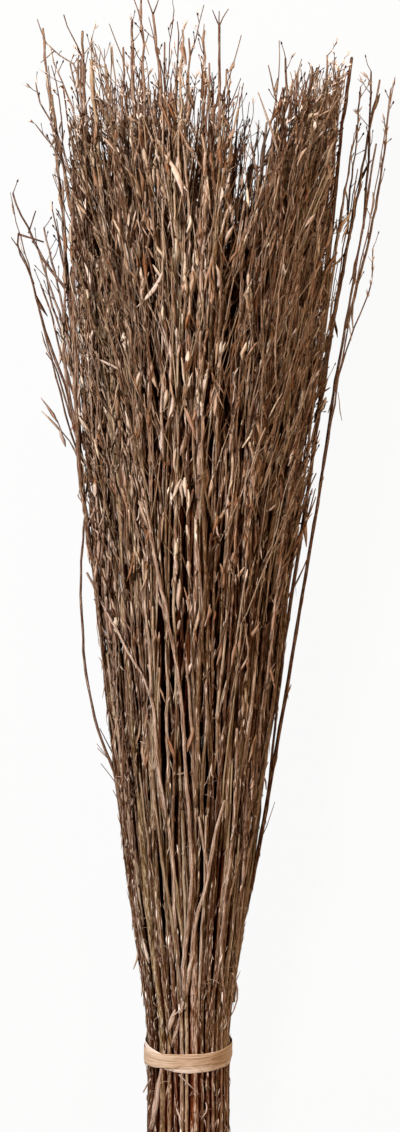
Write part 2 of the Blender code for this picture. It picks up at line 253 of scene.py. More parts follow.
# Stems laid over the bundle.
SURFACE_STEMS = 115
SURFACE_STATIONS = (0.110, 0.82)
SURFACE_LENGTHS = (0.14, 0.27)
SHORTEST_SURFACE_STEM = 0.05
EDGE_TWIGS = (  # side, number, stations of their feet, and how far their tips lean out
    (-1, 30, (0.44, 0.82), (-0.009, 0.001)),
    (1, 30, (0.44, 0.82), (-0.002, 0.010)),
    (1, 38, (0.50, 0.70), (0.008, 0.026)),
    (1, 14, (0.78, 0.90), (-0.004, 0.005)),
    (-1, 8, (0.24, 0.42), (-0.010, -0.003)),
    (1, 10, (0.24, 0.42), (-0.010, -0.001)),
)
EDGE_TWIG_LENGTHS = (0.05, 0.12)
SPRIG_KINK = 0.6  # share of a stem's kinks that a given one laid over the bundle has
SPRIG_REACH = 0.06  # how far its twigs may reach past the fan
BLADE = np.array([0.2, 0.6, 0.9, 1.0, 0.85, 0.5, 0.1])  # half widths along a single leaf or flake
SHREDS = 160  # curled bits of bark caught between the lower stems
MATS = (  # middle, stations and number of the leaves of each mat
    (0.0690, (0.840, 0.935), 130),
    (0.0560, (0.770, 0.850), 50),
)

# Stage.
FLOOR_SIZE = 14.0
KEY_SIZE = 0.45
KEY_PLACE = (-1.5, 0.9, 1.85)
FILL_SIZE = 1.2
FILL_PLACE = (1.5, 0.9, 1.5)
SEEN_PLANE = 0.07  # height over the floor where the view is as long as the stage's seen length
SENSOR_WIDTH = 36.0  # millimetres


@dataclass
class Shoot:
    """An unforked run of a stem: the stem itself, or a fork that leaves it."""

    angle: float
    depth: float
    radius: float
    start: float
    end: float
    waves: tuple
    room: float
    fringe: float = 0.0
    stray: float = 0.0
    stray_from: float = 0.3
    bow: float = 0.0
    parent: "Shoot" = None
    turn: float = 0.0
    dive: float = 0.0
    spread: float = 0.0  # depth that a loose stem gains as the bundle opens
    fray: float = 0.0  # how far a loose stem turns aside below the tie


def ease(t):
    """A smooth step from 0 at t = 0 to 1 at t = 1."""
    t = np.clip(t, 0.0, 1.0)
    return t * t * (3 - 2 * t)


def opening(station):
    """How far the fan has opened: 0 up to the tie, about 1 at the tips."""
    t = np.maximum(0.0, (station - FAN_FROM) / (LENGTH - FAN_FROM))
    return (np.hypot(t, FAN_SOFTNESS) - FAN_SOFTNESS) ** FAN_POWER


def centre_x(station):
    """The bundle's middle line, which leans and bows a little."""
    t = np.maximum(0.0, (station - FAN_FROM) / (LENGTH - FAN_FROM))
    line = CENTRE_AT_TIE + (CENTRE_AT_TIPS - CENTRE_AT_TIE) * t
    return line + CENTRE_BOW * np.sin(math.pi * np.minimum(1.0, t))


def lift(station):
    """How far the tie under the bundle holds its lowest stems off the floor."""
    return TIE_LIFT * (1 - ease((station - FAN_FROM) / 0.15))


def radius_at(shoot, station):
    share = (station - shoot.start) / (shoot.end - shoot.start)
    return np.maximum(TIP_RADIUS, shoot.radius * (1 - STEM_TAPER * np.maximum(0.0, share)))


def disc_place(shoot, station):
    """A shoot's angle and depth in the bundle's cross-section: depth 1 is the outer ring."""
    grown = opening(station) ** 0.7
    if shoot.parent:
        angle, depth = disc_place(shoot.parent, station)
        swing = np.tanh((station - shoot.start) / FORK_RUN)
        angle = angle + shoot.turn * swing
        depth = depth + shoot.dive * swing
    else:
        angle = shoot.angle + (SWIRL * (shoot.depth - 0.85) + shoot.turn) * grown
        angle = angle + shoot.fray * np.maximum(0.0, 1 - station / TIE_AT)
        depth = shoot.depth + shoot.spread * (1 - np.exp(-SPREAD_RATE * grown))
    first, second = shoot.waves
    wander = np.sin(7 * station + first) + 0.5 * np.sin(17 * station + second)
    angle = angle + SWAY * shoot.room * grown * wander
    depth = depth + shoot.fringe * ease((station - 0.72) / 0.35)
    return angle, depth


def sideways(shoot, station):
    """How far a shoot leans or bows out of the fan."""
    kept = sideways(shoot.parent, station) if shoot.parent else 0.0
    share = np.maximum(0.0, (station - shoot.stray_from) / (LENGTH - shoot.stray_from))
    bow = shoot.bow * np.exp(-(((station - BOW_AT) / BOW_SPAN) ** 2))
    return kept + shoot.stray * share**0.8 + bow


def axis_points(shoot, station):
    """A shoot's middle line at many stations, one row each."""
    station = np.atleast_1d(np.asarray(station, float))
    angle, depth = disc_place(shoot, station)
    radius = radius_at(shoot, station)
    fan = opening(station)
    width = TIE_HALF_WIDTH + FAN_HALF_WIDTH * fan - radius
    x = centre_x(station) + width * depth * np.cos(angle) + sideways(shoot, station)
    height = (1 + depth * np.sin(angle)) / 2
    pressed = height - FLAT_SHARE * fan
    pressed = (pressed + np.hypot(pressed, 0.01 * fan)) / 2
    power = 1 + (FLAT_POWER - 1) * fan
    tall = TIE_HALF_HEIGHT + FAN_HALF_HEIGHT * fan - radius
    z = 2 * tall * np.maximum(0.0, pressed) ** power
    return np.stack([x, station - LENGTH / 2, lift(station) + radius + z], axis=1)


def tip_limit(x):
    """The highest station of the ringed stems' tips, lower in the notch."""
    notch = math.exp(-(((x - NOTCH_X) / NOTCH_HALF_WIDTH) ** 2))
    return LENGTH - TALL_TIPS - NOTCH_DEPTH * notch


def loose_limit(x):
    """The same for the loose stems, which are also shorter at the left."""
    notch = math.exp(-(((x - LOOSE_NOTCH_X) / LOOSE_NOTCH_HALF_WIDTH) ** 2))
    shoulder = SHOULDER_DROP * float(ease((SHOULDER_X - x) / 0.045))
    return LENGTH - TALL_TIPS - LOOSE_NOTCH_DEPTH * notch - shoulder


def ring_angles(radii, gap):
    """Angles that set stems of these radii round a ring with even gaps."""
    widths = [2 * r + gap for r in radii]
    angles, turned = [], 0.0
    for i, width in enumerate(widths):
        if i:
            turned += (widths[i - 1] + width) / 2
        angles.append(turned)
    return [2 * math.pi * a / sum(widths) for a in angles]


def make_stem(chance, place, angle, depth, radius, room):
    """A stem and its forks, as a list of shoots with the stem first."""
    stem = Shoot(
        angle=angle,
        depth=depth,
        radius=radius,
        start=CUT_UNEVENNESS * chance.random(),
        end=LENGTH,
        waves=(chance.uniform(0, 2 * math.pi), chance.uniform(0, 2 * math.pi)),
        room=room,
        fringe=chance.uniform(-0.02, 0.08) * depth,
    )
    outer = depth == 1.0
    if outer and place in STRAYS:
        stem.stray, stem.stray_from = STRAYS[place]
    if outer:
        stem.bow = BOWED.get(place, 0.0)
    limit = tip_limit(float(axis_points(stem, LENGTH - TALL_TIPS)[0, 0]))
    stem.end = limit - chance.uniform(0.0, 0.10)
    if chance.random() < TALL_SHARE and axis_points(stem, LENGTH)[0, 0] < TALL_UNTIL_X:
        stem.end = limit + TALL_TIPS * chance.uniform(0.0, 0.65)
    if outer and place == LONGEST:
        stem.end = LENGTH
    shoots = [stem]
    side = chance.choice((-1, 1))
    for i in range(OUTER_FORKS if outer else SECOND_FORKS):
        start = 0.33 + 0.24 * i + chance.uniform(0.0, 0.10)
        fork = Shoot(
            angle=angle,
            depth=depth,
            radius=FORK_RADIUS_SHARE * float(radius_at(stem, start)),
            start=start,
            end=min(limit, stem.end) - chance.uniform(-0.02, 0.12),
            waves=(chance.uniform(0, 2 * math.pi), chance.uniform(0, 2 * math.pi)),
            room=0.3 * room,
            parent=stem,
            turn=side * room * chance.uniform(0.5, 0.7),
            dive=-(0.13 - 0.10 * i) + chance.uniform(-0.02, 0.02),
        )
        if outer and i == 1 and place in STRAY_FORKS:
            fork.stray, fork.end = STRAY_FORKS[place]
            fork.stray_from = start
        shoots.append(fork)
        side = -side
    return shoots


def ringed_stems():
    """{node name: shoots} for the outer ring and the ring behind it."""
    chance = random.Random(SEED)
    stems = {}
    radii = [chance.uniform(*OUTER_RADII) for _ in range(OUTER_COUNT)]
    for place in THICK_STEMS:
        radii[place] = THICK_RADIUS
    around = math.pi * (TIE_HALF_WIDTH + TIE_HALF_HEIGHT) - 2 * math.pi * sum(radii) / len(radii)
    angles = ring_angles(radii, (around - 2 * sum(radii)) / OUTER_COUNT)
    for place, (angle, radius) in enumerate(zip(angles, radii)):
        name = f"stem_{place + 1:02d}"
        stems[name] = make_stem(chance, place, angle, 1.0, radius, math.pi / OUTER_COUNT)
    for place in range(SECOND_COUNT):
        angle = 2 * math.pi * (place + 0.5) / SECOND_COUNT
        radius = chance.uniform(*SECOND_RADII)
        name = f"stem_{OUTER_COUNT + place + 1:02d}"
        room = math.pi / SECOND_COUNT
        stems[name] = make_stem(chance, place, angle, SECOND_DEPTH, radius, room)
    return stems


@dataclass
class LooseGroup:
    """Loose stems of one kind: how many, how thick, and where they lie in the bundle."""

    count: int
    depths: tuple  # at the tie, from the innermost stem to the outermost
    spreads: tuple
    radii: tuple
    drift: float  # how far they turn across their neighbours, radians at the tips
    fray: float = 0.0
    forks: int = LOOSE_FORKS


def loose_stems(group, rng):
    """Lists of shoots, stem first, spread evenly through the group's part of the bundle."""
    stems = []
    for i in range(group.count):
        share = math.sqrt((i + 0.5) / group.count)
        stem = Shoot(
            angle=i * math.pi * (3 - math.sqrt(5)) + rng.normal(0, 0.1),
            depth=group.depths[0] + (group.depths[1] - group.depths[0]) * share,
            radius=rng.uniform(*group.radii),
            start=CUT_UNEVENNESS * rng.random(),
            end=LENGTH,
            waves=(rng.uniform(0, 6.3), rng.uniform(0, 6.3)),
            room=0.30,
            spread=rng.uniform(*group.spreads) * share,
            turn=rng.normal(0, group.drift),
            fray=rng.normal(0, group.fray),
        )
        limit = loose_limit(float(axis_points(stem, LENGTH - TALL_TIPS)[0, 0]))
        stem.end = limit - rng.uniform(0.025, 0.19)
        shoots = [stem]
        side = 1 if i % 2 else -1
        for k in range(group.forks):
            start = 0.30 + 0.26 * k + rng.uniform(0.0, 0.14)
            shoots.append(
                Shoot(
                    angle=stem.angle,
                    depth=stem.depth,
                    radius=FORK_RADIUS_SHARE * float(radius_at(stem, start)),
                    start=start,
                    end=min(limit, stem.end) - rng.uniform(-0.02, 0.12),
                    waves=(rng.uniform(0, 6.3), rng.uniform(0, 6.3)),
                    room=0.10,
                    parent=stem,
                    turn=side * rng.uniform(0.08, 0.22),
                    dive=rng.uniform(-0.10, 0.04),
                )
            )
            side = -side
        stems.append(shoots)
    return stems


def unit(v):
    """The vectors at length 1."""
    return v / np.maximum(1e-12, np.linalg.norm(v, axis=-1, keepdims=True))


def packed_runs(sizes):
    """Lower left corners that lay the runs out on shelves, and the side of the square."""
    sizes = np.asarray(sizes) + MAP_MARGIN
    side = math.sqrt(float((sizes[:, 0] * sizes[:, 1]).sum()) * 1.04) + float(sizes[:, 0].max())
    corners = np.zeros_like(sizes)
    x = y = tall = 0.0
    for i in np.lexsort((-sizes[:, 0], -sizes[:, 1])):
        width, height = sizes[i]
        if x + width > side:
            x, y, tall = 0.0, y + tall, 0.0
        tall = max(tall, height)
        corners[i] = x, y
        x += width
    return corners + MAP_MARGIN / 2, max(side, y + tall)


def painted_shade_amount(points):
    """Painted shade at the points: 0 on the bundle's surface, 1 deep inside where little light gets in,
    with more below the tie and halfway up.
    """
    station = points[:, 1] + LENGTH / 2
    fan = opening(station)
    wide = TIE_HALF_WIDTH + FAN_HALF_WIDTH * fan
    tall = TIE_HALF_HEIGHT + FAN_HALF_HEIGHT * fan
    pressed = np.maximum(0.0, points[:, 2] - lift(station)) / (2 * tall)
    height = pressed ** (1 / (1 + (FLAT_POWER - 1) * fan)) + FLAT_SHARE * fan
    reach = np.hypot((points[:, 0] - centre_x(station)) / wide, 2 * height - 1)
    depth = (1 - reach) * np.minimum(wide, tall)
    foot = 1 - ease((station - TIE_AT + FOOT_EDGE / 2) / FOOT_EDGE)
    span = SUNK_SPAN * (1 - FOOT_SUNK * foot) + SUNK_SPAN_AT_TIPS * fan**2
    shade = np.clip((depth - SUNK_FROM) / span, 0, 1) * (1 - TIPS_OPEN * fan**1.5)
    middle = np.exp(-(((station - MIDDLE_AT) / MIDDLE_SPAN) ** 2))
    return np.minimum(1.0, shade + FOOT_SHADE * foot + MIDDLE_SHADE * middle)


class Growth:
    """Gathers many closed tubes into one mesh. Every point knows its place on its own tube.

    A tone is (shade, youth, warmth): dark or light, old bark or young twig, olive or red. The
    seeds give each piece random numbers of its own, so that a change in one leaves the others.
    """

    def __init__(self, seeds):
        self.rng = np.random.default_rng(seeds)
        self.points, self.place, self.tone = [], [], []
        self.quads, self.quad_map, self.quad_run, self.quad_finish = [], [], [], []
        self.tris, self.tri_map, self.tri_run, self.tri_finish = [], [], [], []
        self.runs = []
        self.count = 0

    def sweep(self, points, side, up, ring, finish, tone, ends):
        """Sweeps one closed outline per point: ring[i, j] is (sideways, upwards).

        ends says how far the foot and the tip bulge out, as shares of their half widths.
        """
        rows, sides = ring.shape[:2]
        steps = np.linalg.norm(np.diff(points, axis=0), axis=1)
        along = np.concatenate(([0.0], np.cumsum(steps)))
        run = unit(np.gradient(points, axis=0))
        shell = points[:, None] + ring[..., :1] * side[:, None] + ring[..., 1:] * up[:, None]
        reach = np.linalg.norm(ring, axis=2).max(1)
        low = points[0] - run[0] * reach[0] * ends[0]
        high = points[-1] + run[-1] * reach[-1] * ends[1]
        base = self.count
        self.points += [shell.reshape(-1, 3), low[None], high[None]]
        turned = 2 * math.pi * np.arange(sides) / sides
        offset = float(self.rng.uniform(0, 50))
        place = np.zeros((rows, sides, 3))
        place[..., 0], place[..., 1] = np.cos(turned), np.sin(turned)
        place[..., 2] = (along * PLACE_SCALE + offset)[:, None]
        ends_place = np.array([[0, 0, offset], [0, 0, along[-1] * PLACE_SCALE + offset]])
        self.place += [place.reshape(-1, 3), ends_place]
        tone = np.broadcast_to(np.asarray(tone, float), (rows, 3))
        self.tone += [np.repeat(tone, sides, axis=0), tone[[0, -1]]]
        self.count += rows * sides + 2

        # Faces, wound to look outwards.
        i, j = np.meshgrid(np.arange(rows - 1), np.arange(sides), indexing="ij")
        k = (j + 1) % sides
        quads = np.stack([i * sides + j, (i + 1) * sides + j, (i + 1) * sides + k, i * sides + k])
        self.quads.append(base + quads.reshape(4, -1).T)
        around = np.linalg.norm(np.roll(ring, -1, 1) - ring, axis=2).sum(1).max()
        wide = around / sides
        span = [-reach[0] * max(0.3, ends[0]), along[-1] + reach[-1] * max(0.3, ends[1])]
        total = span[1] - span[0]
        cuts = max(1, math.ceil(total / LONGEST_RUN))
        which = np.minimum(cuts - 1, ((along[:-1] - span[0]) / total * cuts).astype(int))
        starts = [span[0]] + [along[:-1][which == c].min() if (which == c).any() else 0
                              for c in range(1, cuts)]
        stops = [along[1:][which == c].max() if (which == c).any() else 0
                 for c in range(cuts - 1)] + [span[1]]
        first = len(self.runs)
        for a, b in zip(starts, stops):
            self.runs.append((around, max(b - a, SHORTEST_RUN)))
        start = np.array(starts)[which]
        v0, v1 = along[:-1] - start, along[1:] - start
        u = np.stack([j * wide, j * wide, (j + 1) * wide, (j + 1) * wide], axis=-1)
        v = np.stack([v0[i], v1[i], v1[i], v0[i]], axis=-1)
        self.quad_map.append(np.stack([u, v], axis=-1).reshape(-1, 4, 2))
        self.quad_run.append((first + which[i]).ravel())
        self.quad_finish.append(np.full(i.size, finish))

        # The two ends, each a fan.
        j = np.arange(sides)
        k = (j + 1) % sides
        tip, last = base + rows * sides + 1, base + (rows - 1) * sides
        foot = np.stack([base + j, base + k, np.full(sides, tip - 1)], axis=1)
        head = np.stack([last + k, last + j, np.full(sides, tip)], axis=1)
        self.tris += [foot, head]
        mid = (j + 0.5) * wide
        level = along[0] - starts[0]
        foot_map = np.stack([[j * wide, j * wide + wide, mid], [level + 0 * mid] * 2 + [0 * mid]])
        top = along[-1] - starts[-1]
        crown = span[1] - starts[-1]
        head_map = np.stack([[j * wide + wide, j * wide, mid], [top + 0 * mid] * 2 + [crown + 0 * mid]])
        self.tri_map += [foot_map.transpose(2, 1, 0), head_map.transpose(2, 1, 0)]
        self.tri_run += [np.full(sides, first), np.full(sides, first + cuts - 1)]
        cut = finish == BARK and points[0, 1] < CUT_ZONE - LENGTH / 2
        self.tri_finish += [np.full(sides, CUT if cut else finish), np.full(sides, finish)]

    def tube(self, points, widths, depths, sides, finish, tone, roll=0.0, wind=0.0, ends=(0.0, 1.0)):
        """A round or flat tube along the points: widths and depths are its half sizes."""
        points = np.asarray(points, float)
        run = unit(np.gradient(points, axis=0))
        whole = points[-1] - points[0]
        upright = abs(whole[2]) > 0.8 * np.linalg.norm(whole)
        side = unit(np.cross(run, (1.0, 0.0, 0.0) if upright else (0.0, 0.0, 1.0)))
        up = np.cross(side, run)
        rows = len(points)
        turn = (roll + wind * np.linspace(0, 1, rows))[:, None]
        around = 2 * math.pi * np.arange(sides) / sides
        x = np.broadcast_to(widths, rows)[:, None] * np.cos(around)
        y = np.broadcast_to(depths, rows)[:, None] * np.sin(around)
        ring = np.stack([x * np.cos(turn) - y * np.sin(turn), x * np.sin(turn) + y * np.cos(turn)], -1)
        self.sweep(points, side, up, ring, finish, tone, ends)

    def build(self, name, materials, slot, *nodes):
        """Makes the piece, which rides on the bundle's body in place of the CAD nodes."""
        corners, side = packed_runs(self.runs)
        quads, tris = np.concatenate(self.quads), np.concatenate(self.tris)
        quad_map = np.concatenate(self.quad_map) + corners[np.concatenate(self.quad_run)][:, None]
        tri_map = np.concatenate(self.tri_map) + corners[np.concatenate(self.tri_run)][:, None]
        points = np.concatenate(self.points)
        points = np.clip(points, *CAD_BOX)
        mesh = bpy.data.meshes.new(name)
        mesh.vertices.add(len(points))
        mesh.vertices.foreach_set("co", points.astype(np.float32).ravel())
        loops = np.concatenate([quads.ravel(), tris.ravel()]).astype(np.int32)
        mesh.loops.add(len(loops))
        mesh.loops.foreach_set("vertex_index", loops)
        mesh.polygons.add(len(quads) + len(tris))
        starts = np.concatenate([4 * np.arange(len(quads)), 4 * len(quads) + 3 * np.arange(len(tris))])
        mesh.polygons.foreach_set("loop_start", starts.astype(np.int32))
        finish = np.concatenate([*self.quad_finish, *self.tri_finish]).astype(np.int32)
        mesh.polygons.foreach_set("material_index", finish)
        layer = mesh.uv_layers.new(name=MAP_NAME)
        uv = np.concatenate([quad_map.reshape(-1, 2), tri_map.reshape(-1, 2)]) / side
        layer.data.foreach_set("uv", uv.astype(np.float32).ravel())
        mesh.update(calc_edges=True)
        for key, values in (("grown_place", self.place), ("grown_tone", self.tone)):
            layer = mesh.attributes.new(key, "FLOAT_VECTOR", "POINT")
            layer.data.foreach_set("vector", np.concatenate(values).astype(np.float32).ravel())
        # Painted shade of every point, which darkens the bark and leaf colours.
        layer = mesh.attributes.new("grown_painted_shade", "FLOAT", "POINT")
        layer.data.foreach_set("value", painted_shade_amount(points).astype(np.float32))
        for made in materials:
            mesh.materials.append(made)
        mesh.shade_smooth()
        piece = bpy.data.objects.new(name, mesh)
        bpy.context.scene.collection.objects.link(piece)
        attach(piece, BODY)
        if nodes:
            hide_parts(*nodes)
        return piece


@dataclass
class Line:
    """A grown line: keys are stations on a shoot and metres along a twig."""

    keys: np.ndarray
    points: np.ndarray
    radii: np.ndarray
    nodes: np.ndarray
    shade: float
    warmth: float
    facing: float  # angle of the side that looks out of the bundle
    beyond: float = 0.0  # how far its twigs may reach past the fan

    def at(self, key):
        point = np.array([np.interp(key, self.keys, self.points[:, i]) for i in range(3)])
        i = min(len(self.keys) - 2, max(0, int(np.searchsorted(self.keys, key)) - 1))
        run = unit(self.points[i + 1] - self.points[i])
        return point, run, float(np.interp(key, self.keys, self.radii))


def strays(shoot):
    """Whether a shoot, or the stem that it leaves, leans out of the fan."""
    return shoot.stray != 0 or (shoot.parent is not None and strays(shoot.parent))


def wandering(stations, reach, rng):
    """A slow sideways drift of a dried stem, one column for x and one for z."""
    drift = np.zeros((len(stations), 2))
    for column in range(2):
        for scale, share in ((1.0, 1.0), (0.5, 0.35)):
            length = rng.uniform(0.22, 0.45) * scale
            turned = 2 * math.pi * stations / length + rng.uniform(0, 2 * math.pi)
            drift[:, column] += reach * share * rng.uniform(0.3, 1.0) * np.sin(turned)
    return drift


def leaf_nodes(shoot, looks, spacing, rng):
    """Stations of a shoot's leaf nodes, which stand closer together near the tips."""
    nodes, node = [], shoot.start
    while True:
        crowded = 1 - looks.crowding * float(ease((node - 0.55) / 0.3))
        node += rng.uniform(0.75, 1.3) * spacing * crowded
        if node > shoot.end - 0.3 * spacing:
            return np.array(nodes)
        nodes.append(node)


def natural_line(shoot, trunk, rng, looks, tint, spacing, fine):
    """The shoot's own line, with the small kinks and swellings it grew at its leaf nodes."""
    nodes = leaf_nodes(shoot, looks, spacing, rng)
    calm = STRAY_CALM if strays(shoot) else 1.0
    kinks = rng.normal(0, looks.kink * calm, (len(nodes), 2))
    kinks *= (1 + ease((nodes - 0.35) / 0.3))[:, None]
    if fine:
        between = (nodes[1:] + nodes[:-1]) / 2
        stations = np.concatenate([[shoot.start], nodes, between, [shoot.end]])
        swell = rng.uniform(0.0, 1.0, len(nodes)) * looks.node_swell * (1 + ease((nodes - 0.5) / 0.3))
        bulge = np.concatenate([[0], swell, rng.normal(0, UNEVENNESS, len(between)), [0]])
    else:
        stations = np.concatenate([[shoot.start], nodes, [shoot.end]])
        bulge = np.zeros(len(stations))
    order = np.argsort(stations, kind="stable")
    stations, bulge = stations[order], bulge[order]
    knots = np.concatenate([[shoot.start], nodes, [shoot.end]])
    offsets = np.concatenate([[[0, 0]], kinks, [[0, 0]]])
    drift = wandering(stations, looks.wander * calm, rng)
    drift += np.stack([np.interp(stations, knots, offsets[:, i]) for i in range(2)], axis=1)
    free = ease((stations - FAN_FROM) / 0.25) + 0.25 * ease((np.abs(stations - TIE_AT) - 0.014) / 0.05)
    if trunk is not None:
        free = free * ease((stations - shoot.start) / 0.05)
    points = axis_points(shoot, stations)
    points[:, (0, 2)] += drift * np.minimum(1.0, free)[:, None]
    if trunk is not None:
        shift = trunk.at(shoot.start)[0] - axis_points(shoot, shoot.start)[0]
        points += np.exp(-(stations - shoot.start) / 0.07)[:, None] * shift
    radii = radius_at(shoot, stations) * (1 + bulge) * (1 - TIP_THINNING * ease((stations - 0.6) / 0.4))
    points[:, 2] = np.maximum(points[:, 2], radii + FLOOR_GAP)
    beyond = STRAY_REACH if strays(shoot) else 0.0
    return Line(stations, points, radii, nodes, *tint, shoot.angle, beyond)


def grow(start, heading, pull, length, step, bend, wander, rng):
    """Points of a twig that leaves at a heading and turns back towards its stem's direction."""
    points, heading = [start], np.array(heading)
    for _ in range(max(2, round(length / step))):
        heading = heading + bend * (pull - heading) + rng.normal(0, wander, 3)
        heading = heading / math.sqrt(float(heading @ heading))
        points.append(points[-1] + heading * step)
    return np.array(points)


def kept_in(points, ceiling, beyond):
    """Cuts a twig where it would leave the bundle's space, and rests it on the floor."""
    low, high = CAD_BOX
    station = points[:, 1] + LENGTH / 2
    fan = opening(station)
    upper = ease((station - 0.66) / 0.25)
    bulge = RIGHT_BULGE * (points[:, 0] >= 0) * np.exp(-(((station - BULGE_AT) / BULGE_SPAN) ** 2))
    loose = TWIG_ROOM + bulge + beyond * upper
    wide = TIE_HALF_WIDTH + FAN_HALF_WIDTH * fan + loose
    tall = 2 * (TIE_HALF_HEIGHT + FAN_HALF_HEIGHT * fan) + TIE_LIFT + loose
    limit = np.array([loose_limit(x) for x in points[:, 0]]) + ceiling
    out = (
        (points[:, 0] < low[0] + EDGE_GAP)
        | (points[:, 0] > high[0] - EDGE_GAP)
        | (np.abs(points[:, 0] - centre_x(station)) > wide)
        | (points[:, 2] > np.minimum(tall, high[2] - EDGE_GAP))
        | (station > np.minimum(limit, LENGTH - EDGE_GAP))
    )
    if out.any():
        points = points[: int(np.argmax(out))]
    if len(points):
        points[:, 2] = np.maximum(points[:, 2], EDGE_GAP)
    return points


def across(run, azimuth):
    """A direction square to the run."""
    side = unit(np.cross(run, (0.0, 0.0, 1.0) if abs(run[2]) < 0.8 else (1.0, 0.0, 0.0)))
    return side * math.cos(azimuth) + np.cross(side, run) * math.sin(azimuth)


def splay(point):
    """The slant of twigs at a point: outwards, and less again at the bundle's very edge."""
    station = point[1] + LENGTH / 2
    side = (point[0] - centre_x(station)) / (TIE_HALF_WIDTH + FAN_HALF_WIDTH * opening(station))
    slant = TWIG_SPLAY * side * max(0.4, 1.25 - side * side) * float(ease((station - 0.35) / 0.25))
    return np.array([slant, 0.0, 0.0])


def add_leaf(growth, rng, base, run, length, width, lean, facing, down):
    """A papery, lance-shaped dry leaf with a keel along its middle, bent and twisted."""
    down = down or base[1] + LENGTH / 2 + length > loose_limit(base[0]) + TWIG_CEILING
    run = unit(run + rng.normal(0.5, 0.7) * splay(base))
    heading = -run if down else run
    side = across(run, rng.uniform(0, 2 * math.pi))
    heading = unit(heading * math.cos(lean) + side * math.sin(lean))
    bend = side * rng.normal(0, 0.12) + across(run, rng.uniform(0, 6.3)) * rng.normal(0, 0.08)
    t = np.linspace(0, 1, len(LEAF_PROFILE))[:, None]
    points = base + heading * length * t + bend * length * t * t + rng.normal(0, CRUMPLE, (len(t), 3))
    points[:, 2] = np.maximum(points[:, 2], 0.0012)
    run = unit(np.gradient(points, axis=0))
    right = unit(np.cross(run, (0.0, 0.0, 1.0) if abs(heading[2]) < 0.8 else (1.0, 0.0, 0.0)))
    facing = math.pi - facing if down else facing
    turn = facing - math.pi / 2 + rng.normal(0, 0.40) + rng.normal(0, 0.40) * t
    up = np.cross(right, run)
    right, up = right * np.cos(turn) + up * np.sin(turn), up * np.cos(turn) - right * np.sin(turn)
    half = width / 2 * LEAF_PROFILE * rng.uniform(0.6, 1.25, len(t))
    keel = half * rng.uniform(0.15, 0.55)
    thin = np.full_like(half, LEAF_THICKNESS)
    none = np.zeros_like(half)
    ring = np.stack([np.stack([half, none], -1), np.stack([none, keel + thin], -1),
                     np.stack([-half, none], -1), np.stack([none, keel - thin], -1)], axis=1)
    growth.sweep(points, right, up, ring, LEAF, (rng.beta(1.5, 1.9), 0.5, rng.random()), (0.3, 1.0))


def outwards(line, spread, rng):
    """An azimuth round the line that mostly points out of the bundle."""
    return line.facing + rng.normal(0, spread)


def aside(run, azimuth):
    """The direction square to the run whose azimuth is measured from +X towards +Z."""
    wanted = np.array([math.cos(azimuth), 0.0, math.sin(azimuth)])
    return unit(wanted - run * float(run @ wanted))


def add_sliver(growth, rng, base, run, length, width, lean, azimuth, finish):
    """A narrow flake: peeling skin on the bark, or a husk in a tuft."""
    heading = unit(run * math.cos(lean) + aside(run, azimuth) * math.sin(lean))
    t = np.linspace(0, 1, 3)[:, None]
    points = base + heading * length * t
    points[:, 2] = np.maximum(points[:, 2], EDGE_GAP)
    widths = width / 2 * np.array([0.35, 1.0, 0.25])
    shade = rng.beta(2.2, 1.3)
    growth.tube(points, widths, widths * 0.35, 3, finish, (shade, 0.2, rng.random()),
                roll=azimuth - math.pi / 2, ends=(0.3, 0.6))


def add_husks(growth, rng, spot, run):
    """A little tuft of pale husks at a twig's tip."""
    for _ in range(rng.integers(2, 5)):
        add_sliver(growth, rng, spot - run * rng.uniform(0, 0.005), run, rng.uniform(*HUSK_LENGTHS),
                   rng.uniform(*HUSK_WIDTHS), rng.uniform(0.1, 0.7), rng.uniform(0, 6.3), HUSK)


def add_peels(growth, rng, line, share):
    """Narrow flakes of skin that lift from the lower bark."""
    for node in line.nodes[line.nodes < PEELS_UNTIL]:
        for _ in range(rng.poisson(share)):
            base, run, radius = line.at(node + rng.normal(0, 0.008))
            azimuth = outwards(line, 0.7, rng)
            base = base + aside(run, azimuth) * radius * 0.95
            finish = HUSK if rng.random() < PALE_PEELS else LEAF
            add_sliver(growth, rng, base, run if rng.random() < 0.4 else -run, rng.uniform(*PEEL_LENGTHS),
                       rng.uniform(*PEEL_WIDTHS), rng.uniform(0.0, 0.25), azimuth, finish)


def add_twiglets(growth, rng, line, looks, chance, ceiling):
    """Hair-thin side twigs with a bud at the tip, and pale husks round the heads."""
    for key in line.nodes:
        base, run, radius = line.at(key)
        if rng.random() > chance * (1 + HEAD_BUDS * ease((base[1] + LENGTH / 2 - 0.86) / 0.08)):
            continue
        angle = rng.uniform(*TWIGLET_LEANS)
        heading = run * math.cos(angle) + aside(run, outwards(line, 1.2, rng)) * math.sin(angle)
        length = rng.uniform(*TWIGLET_LENGTHS)
        points = grow(base, heading, run, length, length / 2, 0.15, 0.09, rng)
        points = kept_in(points, ceiling, line.beyond)
        if len(points) < 3:
            continue
        thin = rng.uniform(*TWIGLET_RADII)
        radii = np.linspace(min(radius * 0.7, TWIGLET_FOOT_RADIUS), thin, len(points))
        bud = rng.uniform(*BUD_SWELLS) * thin
        way = unit(points[-1] - points[-2])
        points = np.vstack([points, points[-1] + way * BUD_MIDDLE, points[-1] + way * BUD_END])
        radii = np.concatenate([radii, [bud, 0.4 * bud]])
        tone = np.tile((line.shade, 1.0, line.warmth), (len(points), 1))
        tone[-2:, :2] = 0.0
        growth.tube(points, radii, radii, 3, BARK, tone)
        if points[-1, 1] + LENGTH / 2 > HEADS_FROM and rng.random() < looks.husk_share:
            add_husks(growth, rng, points[-2], way)


def twig_chance(station):
    """Twigs start above the bare foot of the stems and are thickest near the tips."""
    return 0.12 + 0.62 * float(ease((station - 0.42) / 0.36)) if station > 0.30 else 0.0


